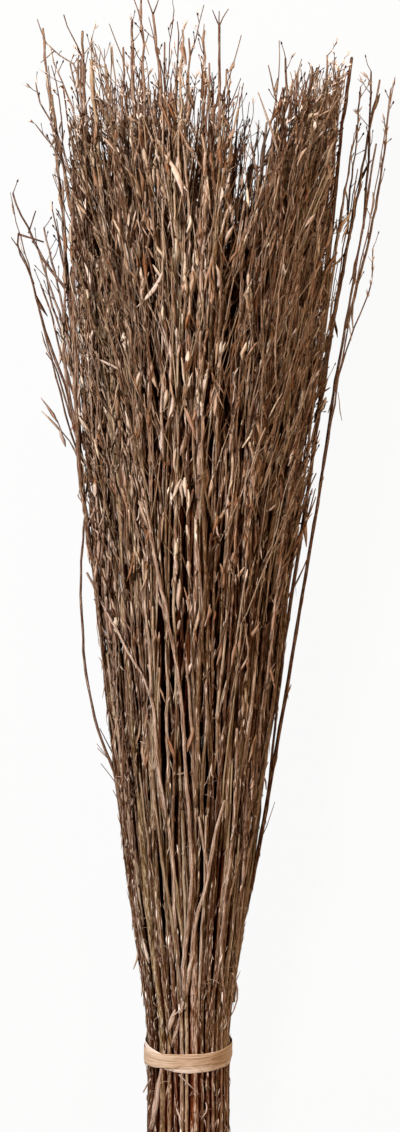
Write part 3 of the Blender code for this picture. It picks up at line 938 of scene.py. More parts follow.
def add_twigs(growth, rng, line, looks, share, ceiling):
    """Side twigs along a shoot: few low down, many near the tips."""
    for key in line.nodes:
        if rng.random() > share * twig_chance(key):
            continue
        base, run, radius = line.at(key)
        angle = rng.uniform(*TWIG_LEANS)
        heading = run * math.cos(angle) + aside(run, outwards(line, 1.4, rng)) * math.sin(angle)
        length = rng.uniform(*TWIG_LENGTHS) * (1.25 - 0.5 * key)
        pull = unit(run + rng.normal(0.7, 0.9) * splay(base))
        points = grow(base, heading, pull, length, TWIG_STEP, 0.22, 0.062, rng)
        points = kept_in(points, ceiling, line.beyond)
        if len(points) < 4:
            continue
        thick = min(radius * 0.8, rng.uniform(*TWIG_RADII))
        radii = np.linspace(thick, TWIG_TIP_RADIUS, len(points)) * rng.uniform(0.85, 1.15, len(points))
        shade = float(np.clip(line.shade + rng.normal(0, 0.12), 0, 1))
        youth = np.linspace(0.5, 1.0, len(points))
        tone = np.stack([np.full_like(youth, shade), youth, np.full_like(youth, line.warmth)], axis=1)
        growth.tube(points, radii, radii, 3, BARK, tone)
        keys = np.arange(len(points)) * TWIG_STEP
        nodes = keys[1:] - rng.uniform(0, TWIG_STEP, len(keys) - 1)
        twig = Line(keys, points, radii, nodes, shade, line.warmth, line.facing, line.beyond)
        add_twiglets(growth, rng, twig, looks, looks.twiglet_share, ceiling)
        if rng.random() < looks.leaf_share:
            spot, way, _ = twig.at(rng.uniform(0.2, 0.9) * keys[-1])
            length, width = (rng.uniform(*sizes) for sizes in TWIG_LEAF)
            add_leaf(growth, rng, spot, way, length, width, abs(rng.normal(0, 0.3)),
                     line.facing, rng.random() < 0.6)


def leaf_chance(station):
    """Leaves start above the bare foot of the stems and are thickest round the heads."""
    lower = 0.08 + 0.24 * float(ease((station - 0.30) / 0.2))
    heads = 0.66 * float(ease((station - 0.50) / 0.16))
    return (lower + heads) * (1 - 0.6 * float(ease((station - 0.92) / 0.08)))


def add_leaves(growth, rng, line, share):
    """Papery leaves that hang along a shoot, most of them tip down."""
    for node in line.nodes[line.nodes > LEAVES_FROM]:
        for _ in range(rng.poisson(share * leaf_chance(node))):
            base, run, radius = line.at(node + rng.normal(0, 0.006))
            base = base + aside(run, outwards(line, 0.8, rng)) * radius
            kind = BROAD_LEAF if rng.random() < BROAD_LEAVES else SLIM_LEAF
            length, width = (rng.uniform(*sizes) for sizes in kind)
            add_leaf(growth, rng, base, run, length, width, abs(rng.normal(0, 0.17)),
                     line.facing, rng.random() < 0.75)


def drape(station, x, out):
    """Points at a height over the bundle's top surface, level with its middle past its sides."""
    fan = opening(station)
    lean = (x - centre_x(station)) / (TIE_HALF_WIDTH + FAN_HALF_WIDTH * fan)
    height = (1 + np.sqrt(1 - np.clip(lean, -1, 1) ** 2)) / 2 - FLAT_SHARE * fan
    tall = TIE_HALF_HEIGHT + FAN_HALF_HEIGHT * fan
    z = lift(station) + 2 * tall * height ** (1 + (FLAT_POWER - 1) * fan) + out
    return np.stack(np.broadcast_arrays(x, station - LENGTH / 2, z), axis=-1)


def smooth_through(knots, values, at):
    """A smooth curve through the values at the knots, read at other places."""
    slopes = np.gradient(values, knots)
    i = np.clip(np.searchsorted(knots, at) - 1, 0, len(knots) - 2)
    span = knots[i + 1] - knots[i]
    t = (at - knots[i]) / span
    start = (1 + 2 * t) * (1 - t) ** 2 * values[i] + t * (1 - t) ** 2 * span * slopes[i]
    return start + t * t * (3 - 2 * t) * values[i + 1] + t * t * (t - 1) * span * slopes[i + 1]


@dataclass
class Sprig:
    """A stem laid over the bundle. Its marks are (station, x), from its foot up."""

    marks: tuple
    radii: tuple  # at its foot and at its tip
    shade: float
    out: tuple = (0.001, 0.002)  # over the bundle's top surface, at its foot and at its tip
    warmth: float = 1.0
    youth: float = 0.2
    twigs: float = 0.0  # shares of its nodes with a twig, a bud twig, a leaf and a peel
    buds: float = 0.0
    leaves: float = 0.0
    peels: float = 0.0
    husks: float = 0.0  # share of its upper nodes with a tuft of pale husks
    step: float = 0.010


# Stems that cross over the others, from the tie upwards.
FRONT_STEMS = (
    Sprig(((0.112, -0.025), (0.144, -0.017), (0.182, -0.009), (0.225, -0.004), (0.258, 0.005),
           (0.279, 0.009), (0.303, 0.013), (0.335, 0.022)), (0.0020, 0.0013), 0.80, (-0.002, 0.004)),
    Sprig(((0.268, 0.007), (0.290, 0.004), (0.321, -0.001)), (0.0015, 0.0011), 0.82, (0.001, 0.004)),
    Sprig(((0.155, -0.014), (0.191, -0.0145), (0.231, -0.010), (0.272, -0.007), (0.308, -0.009),
           (0.353, -0.012), (0.436, -0.018), (0.490, -0.027), (0.533, -0.036), (0.569, -0.043),
           (0.614, -0.051)), (0.0019, 0.0012), 0.72, (0.001, 0.006), leaves=0.3),
    Sprig(((0.112, 0.009), (0.155, 0.010), (0.191, 0.018), (0.225, 0.022), (0.254, 0.027),
           (0.288, 0.036), (0.317, 0.042), (0.344, 0.050)), (0.0021, 0.0015), 0.55, (-0.003, 0.003),
          peels=0.5),
    Sprig(((0.218, -0.022), (0.290, -0.025), (0.377, -0.039), (0.425, -0.043), (0.445, -0.050),
           (0.467, -0.063), (0.494, -0.078), (0.521, -0.093), (0.539, -0.102)),
          (0.0017, 0.0010), 0.86, (-0.001, 0.008)),
    Sprig(((0.429, -0.044), (0.470, -0.045), (0.506, -0.049), (0.551, -0.051)),
          (0.0013, 0.0009), 0.86, (0.006, 0.007)),
    Sprig(((0.330, -0.004), (0.389, -0.002), (0.436, -0.002), (0.494, 0.003), (0.533, 0.005),
           (0.569, 0.004), (0.640, 0.001)), (0.0019, 0.0013), 0.38, (0.000, 0.006),
          warmth=0.3),
    Sprig(((0.308, -0.067), (0.359, -0.078), (0.400, -0.093), (0.449, -0.103), (0.497, -0.107),
           (0.530, -0.108), (0.569, -0.106), (0.640, -0.100)), (0.0014, 0.0009), 0.45, (-0.004, 0.002),
          buds=0.25),
    Sprig(((0.037, -0.043), (0.065, -0.039), (0.095, -0.033)), (0.0030, 0.0028), 0.95, (-0.001, -0.0028)),
    Sprig(((0.150, 0.030), (0.200, 0.033), (0.240, 0.034), (0.290, 0.045), (0.350, 0.057),
           (0.420, 0.066)), (0.0016, 0.0011), 0.70, (-0.001, 0.004), peels=0.9),
    Sprig(((0.130, 0.023), (0.190, 0.019), (0.250, 0.023), (0.310, 0.030), (0.400, 0.033)),
          (0.0017, 0.0012), 0.62, (-0.001, 0.004), peels=0.9),
)
# Thin stems that stand away from the bundle's left side.
LEFT_SPRAY = (
    Sprig(((0.760, -0.112), (0.785, -0.115), (0.794, -0.120), (0.809, -0.132), (0.827, -0.144),
           (0.851, -0.155), (0.863, -0.162), (0.882, -0.169)), (0.0014, 0.0008), 0.35, buds=0.45),
    Sprig(((0.640, -0.106), (0.677, -0.115), (0.713, -0.123), (0.743, -0.135), (0.785, -0.147),
           (0.815, -0.156), (0.833, -0.1645), (0.846, -0.164)), (0.0016, 0.0007), 0.30, buds=0.50),
    Sprig(((0.720, -0.112), (0.758, -0.120), (0.800, -0.129), (0.833, -0.137), (0.851, -0.141)),
          (0.0013, 0.0007), 0.55, buds=0.55),
    Sprig(((0.700, -0.110), (0.740, -0.1215), (0.794, -0.122), (0.863, -0.123), (0.893, -0.124)),
          (0.0013, 0.0007), 0.60, buds=0.50, leaves=0.3),
    Sprig(((0.650, -0.104), (0.695, -0.117), (0.758, -0.126), (0.785, -0.135), (0.819, -0.140)),
          (0.0014, 0.0007), 0.50, buds=0.55),
    Sprig(((0.838, -0.141), (0.841, -0.150), (0.845, -0.164)), (0.0007, 0.0010), 0.45),
    Sprig(((0.700, -0.114), (0.742, -0.127), (0.775, -0.135), (0.800, -0.144)), (0.0012, 0.0007), 0.40,
          buds=0.6, husks=0.3),
    Sprig(((0.735, -0.117), (0.766, -0.125), (0.790, -0.133), (0.835, -0.1475)), (0.0013, 0.0007), 0.65,
          buds=0.6),
    Sprig(((0.755, -0.116), (0.790, -0.118), (0.830, -0.126), (0.868, -0.1335)), (0.0012, 0.0006), 0.35,
          buds=0.5, husks=0.2),
    Sprig(((0.675, -0.112), (0.700, -0.119), (0.730, -0.123), (0.775, -0.124)), (0.0012, 0.0007), 0.70,
          buds=0.5, leaves=0.3),
    Sprig(((0.662, -0.110), (0.695, -0.1215), (0.722, -0.129), (0.738, -0.139)), (0.0011, 0.0006), 0.30,
          buds=0.5),
    Sprig(((0.800, -0.150), (0.829, -0.1615), (0.842, -0.1705)), (0.0007, 0.0005), 0.35, buds=0.3),
    Sprig(((0.846, -0.155), (0.862, -0.150), (0.866, -0.1485)), (0.0007, 0.0005), 0.40),
    Sprig(((0.620, -0.104), (0.655, -0.116), (0.668, -0.126), (0.677, -0.129)),
          (0.0010, 0.0005), 0.50, leaves=0.5),
)
# Thin stems that stand away from its right side, with tufts of husks.
RIGHT_SPRAY = (
    Sprig(((0.850, 0.1475), (0.885, 0.1505), (0.935, 0.153), (0.992, 0.1545)), (0.0012, 0.0008), 0.35,
          buds=0.40, husks=0.25),
    Sprig(((0.760, 0.132), (0.818, 0.147), (0.863, 0.1575), (0.911, 0.165), (0.9765, 0.1725)),
          (0.0013, 0.0008), 0.55, buds=0.45, husks=0.35),
    Sprig(((0.845, 0.133), (0.890, 0.136), (0.925, 0.141), (0.958, 0.143), (0.978, 0.145)),
          (0.0009, 0.0006), 0.65, buds=0.5, husks=0.6),
    Sprig(((0.720, 0.126), (0.760, 0.139), (0.800, 0.1545), (0.832, 0.156)), (0.0008, 0.0005), 0.45,
          buds=0.4, husks=0.8),
)
# Wisps that stick out low at its left side.
WISPS = (
    Sprig(((0.345, -0.060), (0.372, -0.077), (0.398, -0.091)), (0.0006, 0.0004), 0.75, (-0.010, -0.010)),
    Sprig(((0.338, -0.060), (0.360, -0.074), (0.380, -0.093)), (0.0006, 0.0003), 0.55, (-0.012, -0.012)),
    Sprig(((0.318, -0.060), (0.348, -0.076), (0.366, -0.090)), (0.0005, 0.0003), 0.45, (-0.012, -0.012)),
    Sprig(((0.322, -0.061), (0.352, -0.0695), (0.384, -0.0935)), (0.0005, 0.0003), 0.85, (-0.008, -0.012)),
    Sprig(((0.300, -0.058), (0.318, -0.067), (0.342, -0.079)), (0.0005, 0.0003), 0.55, (-0.012, -0.012)),
    Sprig(((0.290, 0.052), (0.318, 0.064), (0.331, 0.068)), (0.0005, 0.0003), 0.60, (-0.010, -0.012)),
)
# Tips that stand over the others, and the straight stem at the right of the notch.
TALL_SPRIGS = (
    Sprig(((0.930, -0.030), (0.956, -0.033), (0.992, -0.037), (1.032, -0.0415)), (0.0016, 0.0011), 0.5),
    Sprig(((1.032, -0.0415), (1.0545, -0.0495)), (0.0007, 0.0004), 0.4),
    Sprig(((1.032, -0.0415), (1.050, -0.0350)), (0.0007, 0.0004), 0.4),
    Sprig(((0.930, 0.017), (0.956, 0.017), (1.001, 0.017), (1.021, 0.017)), (0.0014, 0.0010), 0.45),
    Sprig(((1.021, 0.017), (1.035, 0.011)), (0.0006, 0.0004), 0.4),
    Sprig(((1.021, 0.017), (1.034, 0.017)), (0.0006, 0.0005), 0.4),
    Sprig(((1.021, 0.017), (1.036, 0.025)), (0.0006, 0.0004), 0.4),
    Sprig(((0.920, -0.103), (0.956, -0.105), (1.001, -0.105), (1.021, -0.115), (1.043, -0.123)),
          (0.0012, 0.0005), 0.4, buds=0.5),
    Sprig(((0.930, -0.101), (0.960, -0.1035), (1.023, -0.105)), (0.0015, 0.0011), 0.55, buds=0.3),
    Sprig(((0.975, -0.108), (0.998, -0.115), (1.010, -0.132), (1.039, -0.147)),
          (0.0009, 0.0004), 0.6, buds=0.4),
    Sprig(((1.000, -0.144), (1.010, -0.132)), (0.0004, 0.0006), 0.6),
    Sprig(((0.940, -0.058), (0.980, -0.060), (1.028, -0.060)), (0.0014, 0.0011), 0.55, buds=0.4),
    Sprig(((0.960, -0.021), (0.995, -0.020), (1.014, -0.019), (1.025, -0.020)),
          (0.0009, 0.0005), 0.4, buds=0.5),
    Sprig(((0.767, 0.1125), (0.839, 0.118), (0.893, 0.1235), (0.935, 0.127), (0.965, 0.1315),
           (1.004, 0.137)), (0.0020, 0.0014), 0.22, (-0.002, 0.004)),
)

# Tips that lean out at the left, and those on both sides of the notch.
HEAD_SPRIGS = (
    Sprig(((0.8478, -0.1044), (0.8991, -0.117), (0.9351, -0.1287), (0.9648, -0.144), (0.9828, -0.1485)),
          (0.0014, 0.0006), 0.55, buds=0.5, husks=0.2),
    Sprig(((0.8991, -0.117), (0.9225, -0.1323), (0.9441, -0.1485)), (0.0009, 0.0005), 0.45, buds=0.5),
    Sprig(((0.8748, -0.1026), (0.9261, -0.108), (0.9558, -0.1143), (0.9801, -0.1233), (1.0008, -0.1323)),
          (0.0014, 0.0006), 0.60, buds=0.5, husks=0.2),
    Sprig(((0.890, -0.101), (0.9351, -0.1053), (0.9675, -0.1098), (0.9981, -0.117)),
          (0.0013, 0.0007), 0.40, buds=0.5, husks=0.2),
    Sprig(((0.890, -0.060), (0.9288, -0.072), (0.9558, -0.081), (0.9828, -0.090), (1.0125, -0.0972)),
          (0.0013, 0.0006), 0.65, buds=0.5, husks=0.3),
    Sprig(((0.7308, 0.0648), (0.7848, 0.072), (0.8298, 0.0774), (0.9018, 0.0828), (0.981, 0.0864)),
          (0.0018, 0.0011), 0.62, (0.001, 0.004), buds=0.3, leaves=0.3),
    Sprig(((0.7578, 0.0837), (0.8208, 0.090), (0.9018, 0.0945), (0.954, 0.0963), (0.9873, 0.0999)),
          (0.0016, 0.0010), 0.50, (0.001, 0.005), buds=0.3, leaves=0.3),
    Sprig(((0.7488, 0.090), (0.8253, 0.1008), (0.8928, 0.108), (0.9603, 0.1125), (1.0008, 0.1134)),
          (0.0016, 0.0009), 0.72, (0.000, 0.005), buds=0.4, leaves=0.3),
    Sprig(((0.8811, 0.0918), (0.9198, 0.1062), (0.9603, 0.117), (0.990, 0.126)),
          (0.0012, 0.0006), 0.45, (0.003, 0.007), buds=0.5),
    Sprig(((0.8118, 0.0612), (0.8748, 0.0684), (0.9333, 0.072), (0.9603, 0.0765), (0.9945, 0.0756)),
          (0.0015, 0.0010), 0.42, (0.001, 0.004), buds=0.3),
    Sprig(((0.8928, 0.0828), (0.9378, 0.072), (0.9873, 0.0603)), (0.0010, 0.0005), 0.35, (0.005, 0.007),
          buds=0.6),
    Sprig(((0.9108, 0.0693), (0.9315, 0.063), (0.963, 0.0513)), (0.0012, 0.0006), 0.85, (0.004, 0.006)),
    Sprig(((0.8118, 0.0558), (0.8523, 0.0549), (0.882, 0.0513), (0.9198, 0.045)),
          (0.0013, 0.0007), 0.55, (0.002, 0.004), buds=0.5),
    Sprig(((0.660, 0.055), (0.750, 0.064), (0.850, 0.071), (0.935, 0.075)),
          (0.0018, 0.0010), 0.30, (0.003, 0.006), buds=0.3),
    Sprig(((0.700, 0.074), (0.800, 0.083), (0.900, 0.089), (0.965, 0.0915)),
          (0.0016, 0.0008), 0.68, (0.003, 0.006), buds=0.4),
    Sprig(((0.640, 0.077), (0.740, 0.090), (0.840, 0.0995), (0.950, 0.1045)),
          (0.0018, 0.0009), 0.45, (0.003, 0.006), buds=0.3),
    Sprig(((0.680, 0.098), (0.780, 0.110), (0.880, 0.119), (0.985, 0.1215)),
          (0.0016, 0.0008), 0.30, (0.002, 0.005), buds=0.4),
)


def edge_sprigs(rng):
    """Thin twigs that lean out of the bundle's two sides all the way up."""
    sprigs = []
    for side, count, stations, leans in EDGE_TWIGS:
        for foot in np.linspace(*stations, count):
            keys = foot + rng.uniform(*EDGE_TWIG_LENGTHS) * np.array([0.0, 0.35, 0.7, 1.0])
            wide = TIE_HALF_WIDTH + FAN_HALF_WIDTH * opening(keys)
            lean = rng.uniform(*leans) * np.array([0.0, 0.5, 0.8, 1.0])
            x = centre_x(keys) + side * (wide - 0.006 + lean + rng.normal(0, 0.0008, 4))
            height = rng.uniform(-0.012, 0.020)
            sprigs.append(Sprig(
                marks=tuple(zip(keys, x)), radii=(rng.uniform(0.0008, 0.0014), 0.0005),
                shade=rng.uniform(0.2, 0.8), out=(height, height), youth=0.6,
                buds=0.45, leaves=rng.uniform(0.0, 0.6), husks=0.05,
            ))
    return sprigs


def surface_sprigs(rng):
    """Thin stems that cross over the others at slight angles, from the tie to the heads."""
    sprigs = []
    for foot in np.linspace(*SURFACE_STATIONS, SURFACE_STEMS):
        length = rng.uniform(*SURFACE_LENGTHS)
        place = rng.uniform(-0.88, 0.88)
        slant = rng.normal(5 * place * (1 - abs(place)) * ease((foot - 0.3) / 0.3), 0.9)
        tip = float(np.clip(place + slant * length, -0.95, 0.95))
        top = loose_limit(CENTRE_AT_TIPS + tip * (TIE_HALF_WIDTH + FAN_HALF_WIDTH))
        length = min(length, top - rng.uniform(0.03, 0.08) - foot)
        if length < SHORTEST_SURFACE_STEM:
            continue
        keys = foot + length * np.array([0.0, 0.3, 0.6, 1.0])
        wide = TIE_HALF_WIDTH + FAN_HALF_WIDTH * opening(keys)
        place = place + (tip - place) * np.array([0.0, 0.25, 0.6, 1.0])
        place = np.clip(place + rng.normal(0, 0.012, 4), -0.95, 0.95)
        thick = rng.uniform(0.0009, 0.0017) * (1.15 - 0.5 * foot)
        sprigs.append(Sprig(
            marks=tuple(zip(keys, centre_x(keys) + place * wide)), radii=(thick, 0.6 * thick),
            shade=float(rng.beta(1.0, 1.25)), out=(-0.0025, rng.uniform(0.000, 0.005)),
            warmth=rng.random(), youth=float(0.7 * foot), buds=0.12 * foot, leaves=0.3, peels=0.3,
            step=0.020,
        ))
    return sprigs


def add_sprig(growth, sprig, looks):
    """A given stem laid over the bundle, with its twigs, buds, leaves, peels and husks."""
    rng = growth.rng
    marks = np.array(sprig.marks)
    knots = marks[:, 0]
    count = max(2, round((knots[-1] - knots[0]) / sprig.step))
    keys = np.linspace(knots[0], knots[-1], count + 1)
    x = smooth_through(knots, marks[:, 1], keys)
    x[1:-1] += rng.normal(0, looks.kink * SPRIG_KINK, count - 1)
    points = drape(keys, x, np.interp(keys, knots[[0, -1]], sprig.out))
    radii = np.linspace(*sprig.radii, count + 1) * rng.uniform(0.88, 1.18, count + 1)
    growth.tube(points, radii, radii, 6, BARK, (sprig.shade, sprig.youth, sprig.warmth))
    line = Line(keys, points, radii, keys[1:], sprig.shade, sprig.warmth, math.pi / 2, SPRIG_REACH)
    add_twigs(growth, rng, line, looks, sprig.twigs, TALL_CEILING)
    add_twiglets(growth, rng, line, looks, sprig.buds, TALL_CEILING)
    add_leaves(growth, rng, line, sprig.leaves)
    add_peels(growth, rng, line, sprig.peels)
    for key in keys[2 * count // 3 :]:
        if rng.random() < sprig.husks:
            spot, run, _ = line.at(key)
            add_husks(growth, rng, spot, run)


@dataclass
class Habit:
    """How a group of stems grows: sides of its tubes, and shares of twigs, leaves and peels."""

    sides: int
    twigs: float
    leaves: float
    peels: float
    spacing: float = 0.030
    fine: bool = True


def add_stem(growth, shoots, looks, habit, tint):
    """One whole stem with its forks, twigs, leaves and buds. A tint is (shade, warmth)."""
    rng = growth.rng
    trunk = None
    for i, shoot in enumerate(shoots):
        shade = float(np.clip(tint[0] + (rng.normal(0, 0.06) if i else 0), 0, 1))
        spacing = habit.spacing * (0.85 if i else 1.0)
        line = natural_line(shoot, trunk, rng, looks, (shade, tint[1]), spacing, habit.fine)
        if i == 0:
            trunk = line
        sides = habit.sides if i == 0 else max(4, habit.sides - 3)
        youth = np.clip((line.keys - 0.35) / 0.6, 0, 1)
        tone = np.stack([np.full_like(youth, shade), youth, np.full_like(youth, tint[1])], axis=1)
        growth.tube(line.points, line.radii, line.radii, sides, BARK, tone)
        ceiling = TWIG_CEILING if shoot.end < tip_limit(line.points[-1, 0]) else TALL_CEILING
        # Few twigs and leaves are left where the bundle lies on its stems.
        bare = UNDERSIDE if math.sin(shoots[0].angle) < UNDERSIDE_FROM else 1.0
        few = STRAY_TWIGS if strays(shoot) else 1.0
        add_twigs(growth, rng, line, looks, bare * few * habit.twigs, ceiling)
        upper = replace(line, nodes=line.nodes[line.nodes > 0.55])
        add_twiglets(growth, rng, upper, looks, bare * few * 0.45 * habit.twigs, ceiling)
        add_leaves(growth, rng, line, bare * few * habit.leaves)
        add_peels(growth, rng, line, bare * habit.peels)


def stem_tint(rng, darker=1.0):
    """Shade and warmth of one stem: most are mid brown, and some are olive."""
    return float(np.clip(rng.beta(1.2, 1.65), 0.02, 0.98)) * darker, float(rng.beta(1.2, 1.0))


# Materials.


def node_group(name, inputs, outputs):
    """A shader group with its named sockets, and its input and output nodes."""
    group = bpy.data.node_groups.new(name, "ShaderNodeTree")
    for label, kind, value in inputs:
        socket = group.interface.new_socket(label, in_out="INPUT", socket_type=kind)
        if value is not None:
            socket.default_value = value
    for label, kind in outputs:
        group.interface.new_socket(label, in_out="OUTPUT", socket_type=kind)
    return group, group.nodes.new("NodeGroupInput"), group.nodes.new("NodeGroupOutput")


def math_node(tree, operation, *values, clamp=False):
    """The result of one Math node: each value is a number or a socket."""
    node = tree.nodes.new("ShaderNodeMath")
    node.operation = operation
    node.use_clamp = clamp
    for socket, value in zip(node.inputs, values):
        if isinstance(value, (int, float)):
            socket.default_value = value
        else:
            tree.links.new(value, socket)
    return node.outputs[0]


def mixed(tree, factor, a, b, blend="MIX"):
    """Colour a blended with b: each value is a number, a colour or a socket."""
    node = tree.nodes.new("ShaderNodeMix")
    node.data_type = "RGBA"
    node.blend_type = blend
    for socket, value in zip((node.inputs[0], node.inputs[6], node.inputs[7]), (factor, a, b)):
        if isinstance(value, bpy.types.NodeSocket):
            tree.links.new(value, socket)
        elif isinstance(value, (int, float)):
            socket.default_value = value
        else:
            socket.default_value = (*value, 1.0)
    return node.outputs[2]


def ramp(tree, factor, stops):
    """The colour at a factor between stops of (place, colour)."""
    node = tree.nodes.new("ShaderNodeValToRGB")
    tree.links.new(factor, node.inputs[0])
    elements = node.color_ramp.elements
    while len(elements) < len(stops):
        elements.new(0.5)
    for element, (at, colour) in zip(elements, stops):
        element.position = at
        element.color = (*colour, 1.0)
    return node.outputs[0]


def fibre_group():
    """Long dry fibres along a grown piece: streaks, papery flakes and a height."""
    if "Dry fibres" in bpy.data.node_groups:
        return bpy.data.node_groups["Dry fibres"]
    group, given, out = node_group(
        "Dry fibres",
        [
            ("Place", "NodeSocketVector", None),
            ("Around", "NodeSocketFloat", 2.0),
            ("Along", "NodeSocketFloat", 1.5),
            ("Flake size", "NodeSocketFloat", 0.6),
            ("Flake amount", "NodeSocketFloat", 0.5),
        ],
        [("Streak", "NodeSocketFloat"), ("Flakes", "NodeSocketFloat"), ("Height", "NodeSocketFloat")],
    )

    def stretched(around, along):
        joined = group.nodes.new("ShaderNodeCombineXYZ")
        for i, source in enumerate((around, around, along)):
            group.links.new(source, joined.inputs[i])
        scaled = group.nodes.new("ShaderNodeVectorMath")
        scaled.operation = "MULTIPLY"
        group.links.new(given.outputs["Place"], scaled.inputs[0])
        group.links.new(joined.outputs[0], scaled.inputs[1])
        return scaled.outputs[0]

    def noise(vector, detail, rough):
        node = group.nodes.new("ShaderNodeTexNoise")
        node.inputs["Scale"].default_value = 1.0
        node.inputs["Detail"].default_value = detail
        node.inputs["Roughness"].default_value = rough
        group.links.new(vector, node.inputs["Vector"])
        return node.outputs["Fac"]

    fine = noise(stretched(given.outputs["Around"], given.outputs["Along"]), 4.0, 0.70)
    size = given.outputs["Flake size"]
    flake = noise(stretched(math_node(group, "MULTIPLY", size, 1.6), size), 2.0, 0.55)
    edge = math_node(group, "SUBTRACT", 1.0, given.outputs["Flake amount"])
    lifted = math_node(group, "SUBTRACT", flake, math_node(group, "MULTIPLY_ADD", edge, 0.5, 0.25))
    flakes = math_node(group, "MULTIPLY", lifted, 14.0, clamp=True)
    height = math_node(group, "MULTIPLY_ADD", flakes, 0.5, fine)
    centred = math_node(group, "SUBTRACT", fine, 0.5)
    streak = math_node(group, "MULTIPLY_ADD", centred, 2.2, 0.5, clamp=True)
    group.links.new(streak, out.inputs["Streak"])
    group.links.new(flakes, out.inputs["Flakes"])
    group.links.new(height, out.inputs["Height"])
    return group


def new_material(name, roughness):
    """A dull material, its node tree and its shader."""
    made = bpy.data.materials.new(name)
    made.use_nodes = True
    shader = made.node_tree.nodes["Principled BSDF"]
    shader.inputs["Roughness"].default_value = roughness
    shader.inputs["Specular IOR Level"].default_value = 0.04
    return made, made.node_tree, shader


def attribute(tree, name):
    """A node that reads a value kept in the grown mesh."""
    node = tree.nodes.new("ShaderNodeAttribute")
    node.attribute_name = name
    return node


def fibres(tree, around, along, flake_size, flake_amount):
    """The dry fibres, placed in a material with its own values."""
    node = tree.nodes.new("ShaderNodeGroup")
    node.node_tree = fibre_group()
    tree.links.new(attribute(tree, "grown_place").outputs["Vector"], node.inputs["Place"])
    for name, value in (("Around", around), ("Along", along), ("Flake size", flake_size),
                        ("Flake amount", flake_amount)):
        node.inputs[name].default_value = value
    return node


def bump(tree, shader, height, distance):
    """Raises the surface by a height, at most the distance."""
    node = tree.nodes.new("ShaderNodeBump")
    node.inputs["Distance"].default_value = distance
    node.inputs["Strength"].default_value = 1.0
    tree.links.new(height, node.inputs["Height"])
    tree.links.new(node.outputs[0], shader.inputs["Normal"])


def blotches(tree, scale):
    """Slow change over the whole bundle, from where it has faded."""
    place = tree.nodes.new("ShaderNodeTexCoord")
    node = tree.nodes.new("ShaderNodeTexNoise")
    node.inputs["Scale"].default_value = scale
    node.inputs["Detail"].default_value = 2.0
    tree.links.new(place.outputs["Object"], node.inputs["Vector"])
    return node.outputs["Fac"]


def tone_of(tree):
    """Outputs of the grown tone: shade, youth and warmth."""
    split = tree.nodes.new("ShaderNodeSeparateXYZ")
    tree.links.new(attribute(tree, "grown_tone").outputs["Vector"], split.inputs[0])
    return split.outputs


def streaked(tree, shade, streak, amount, clamp=True):
    """A shade that the fibre streaks make lighter and darker."""
    centred = math_node(tree, "SUBTRACT", streak, 0.5)
    return math_node(tree, "MULTIPLY_ADD", centred, amount, shade, clamp=clamp)


def tinted(tree, colour, warmth, looks):
    """The colour, yellower or pinker in patches and from one piece to the next."""
    hue = streaked(tree, warmth, blotches(tree, 55.0), 1.6)
    tint = ramp(tree, hue, [(0.0, looks.golden), (1.0, looks.rosy)])
    return mixed(tree, 1.0, colour, tint, "MULTIPLY")


def with_painted_shade(tree, colour, looks):
    """The colour with painted shade: darker and redder the deeper it lies in the bundle."""
    depth = attribute(tree, "grown_painted_shade").outputs["Fac"]
    shade = ramp(tree, depth, [(0.0, (1.0, 1.0, 1.0)), (0.5, looks.painted_half_shade), (1.0, looks.painted_full_shade)])
    return mixed(tree, 1.0, colour, shade, "MULTIPLY")


def bark_material(name, looks):
    """Streaked bark, from olive to red brown and from old to young, with papery flakes."""
    made, tree, shader = new_material(name, looks.bark_roughness)
    grain = fibres(tree, around=4.2, along=0.8, flake_size=1.5, flake_amount=looks.flake_amount)
    shade, youth, warmth = tone_of(tree)
    tone = streaked(tree, shade, grain.outputs["Streak"], 1.6, clamp=False)
    tone = streaked(tree, tone, blotches(tree, 14.0), 0.50)
    stops = (0.0, 0.27, 0.52, 0.78, 1.0)
    barks = (looks.bark_darkest, looks.bark_dark, looks.bark_mid, looks.bark_light, looks.bark_lightest)
    olives = (looks.olive_dark, looks.olive_mid, looks.olive_light)
    red = ramp(tree, tone, list(zip(stops, barks)))
    olive = ramp(tree, tone, list(zip(stops[::2], olives)))
    old = mixed(tree, warmth, olive, red)
    young = ramp(tree, tone, [(0.0, looks.twig_dark), (1.0, looks.twig_light)])
    colour = mixed(tree, math_node(tree, "MULTIPLY", youth, 0.75), old, young)
    papery = math_node(tree, "MULTIPLY", grain.outputs["Flakes"], 0.7)
    colour = tinted(tree, mixed(tree, papery, colour, looks.flake_colour), warmth, looks)
    # Painted shade by depth in the bundle darkens the bark's colour.
    tree.links.new(with_painted_shade(tree, colour, looks), shader.inputs["Base Color"])
    bump(tree, shader, grain.outputs["Height"], 0.0015)
    return made


def leaf_material(name, looks):
    """Papery dry leaves with dark spots."""
    made, tree, shader = new_material(name, 0.62)
    grain = fibres(tree, around=2.2, along=1.2, flake_size=1.4, flake_amount=0.42)
    shade, _, warmth = tone_of(tree)
    tone = streaked(tree, shade, grain.outputs["Streak"], 0.75)
    colour = ramp(tree, tone, [(0.0, looks.leaf_dark), (0.45, looks.leaf_mid), (1.0, looks.leaf_light)])
    spots = math_node(tree, "MULTIPLY", grain.outputs["Flakes"], 0.35)
    colour = tinted(tree, mixed(tree, spots, colour, looks.leaf_dark), warmth, looks)
    # Painted shade by depth in the bundle darkens the leaves' colour.
    tree.links.new(with_painted_shade(tree, colour, looks), shader.inputs["Base Color"])
    bump(tree, shader, grain.outputs["Height"], 0.0003)
    return made


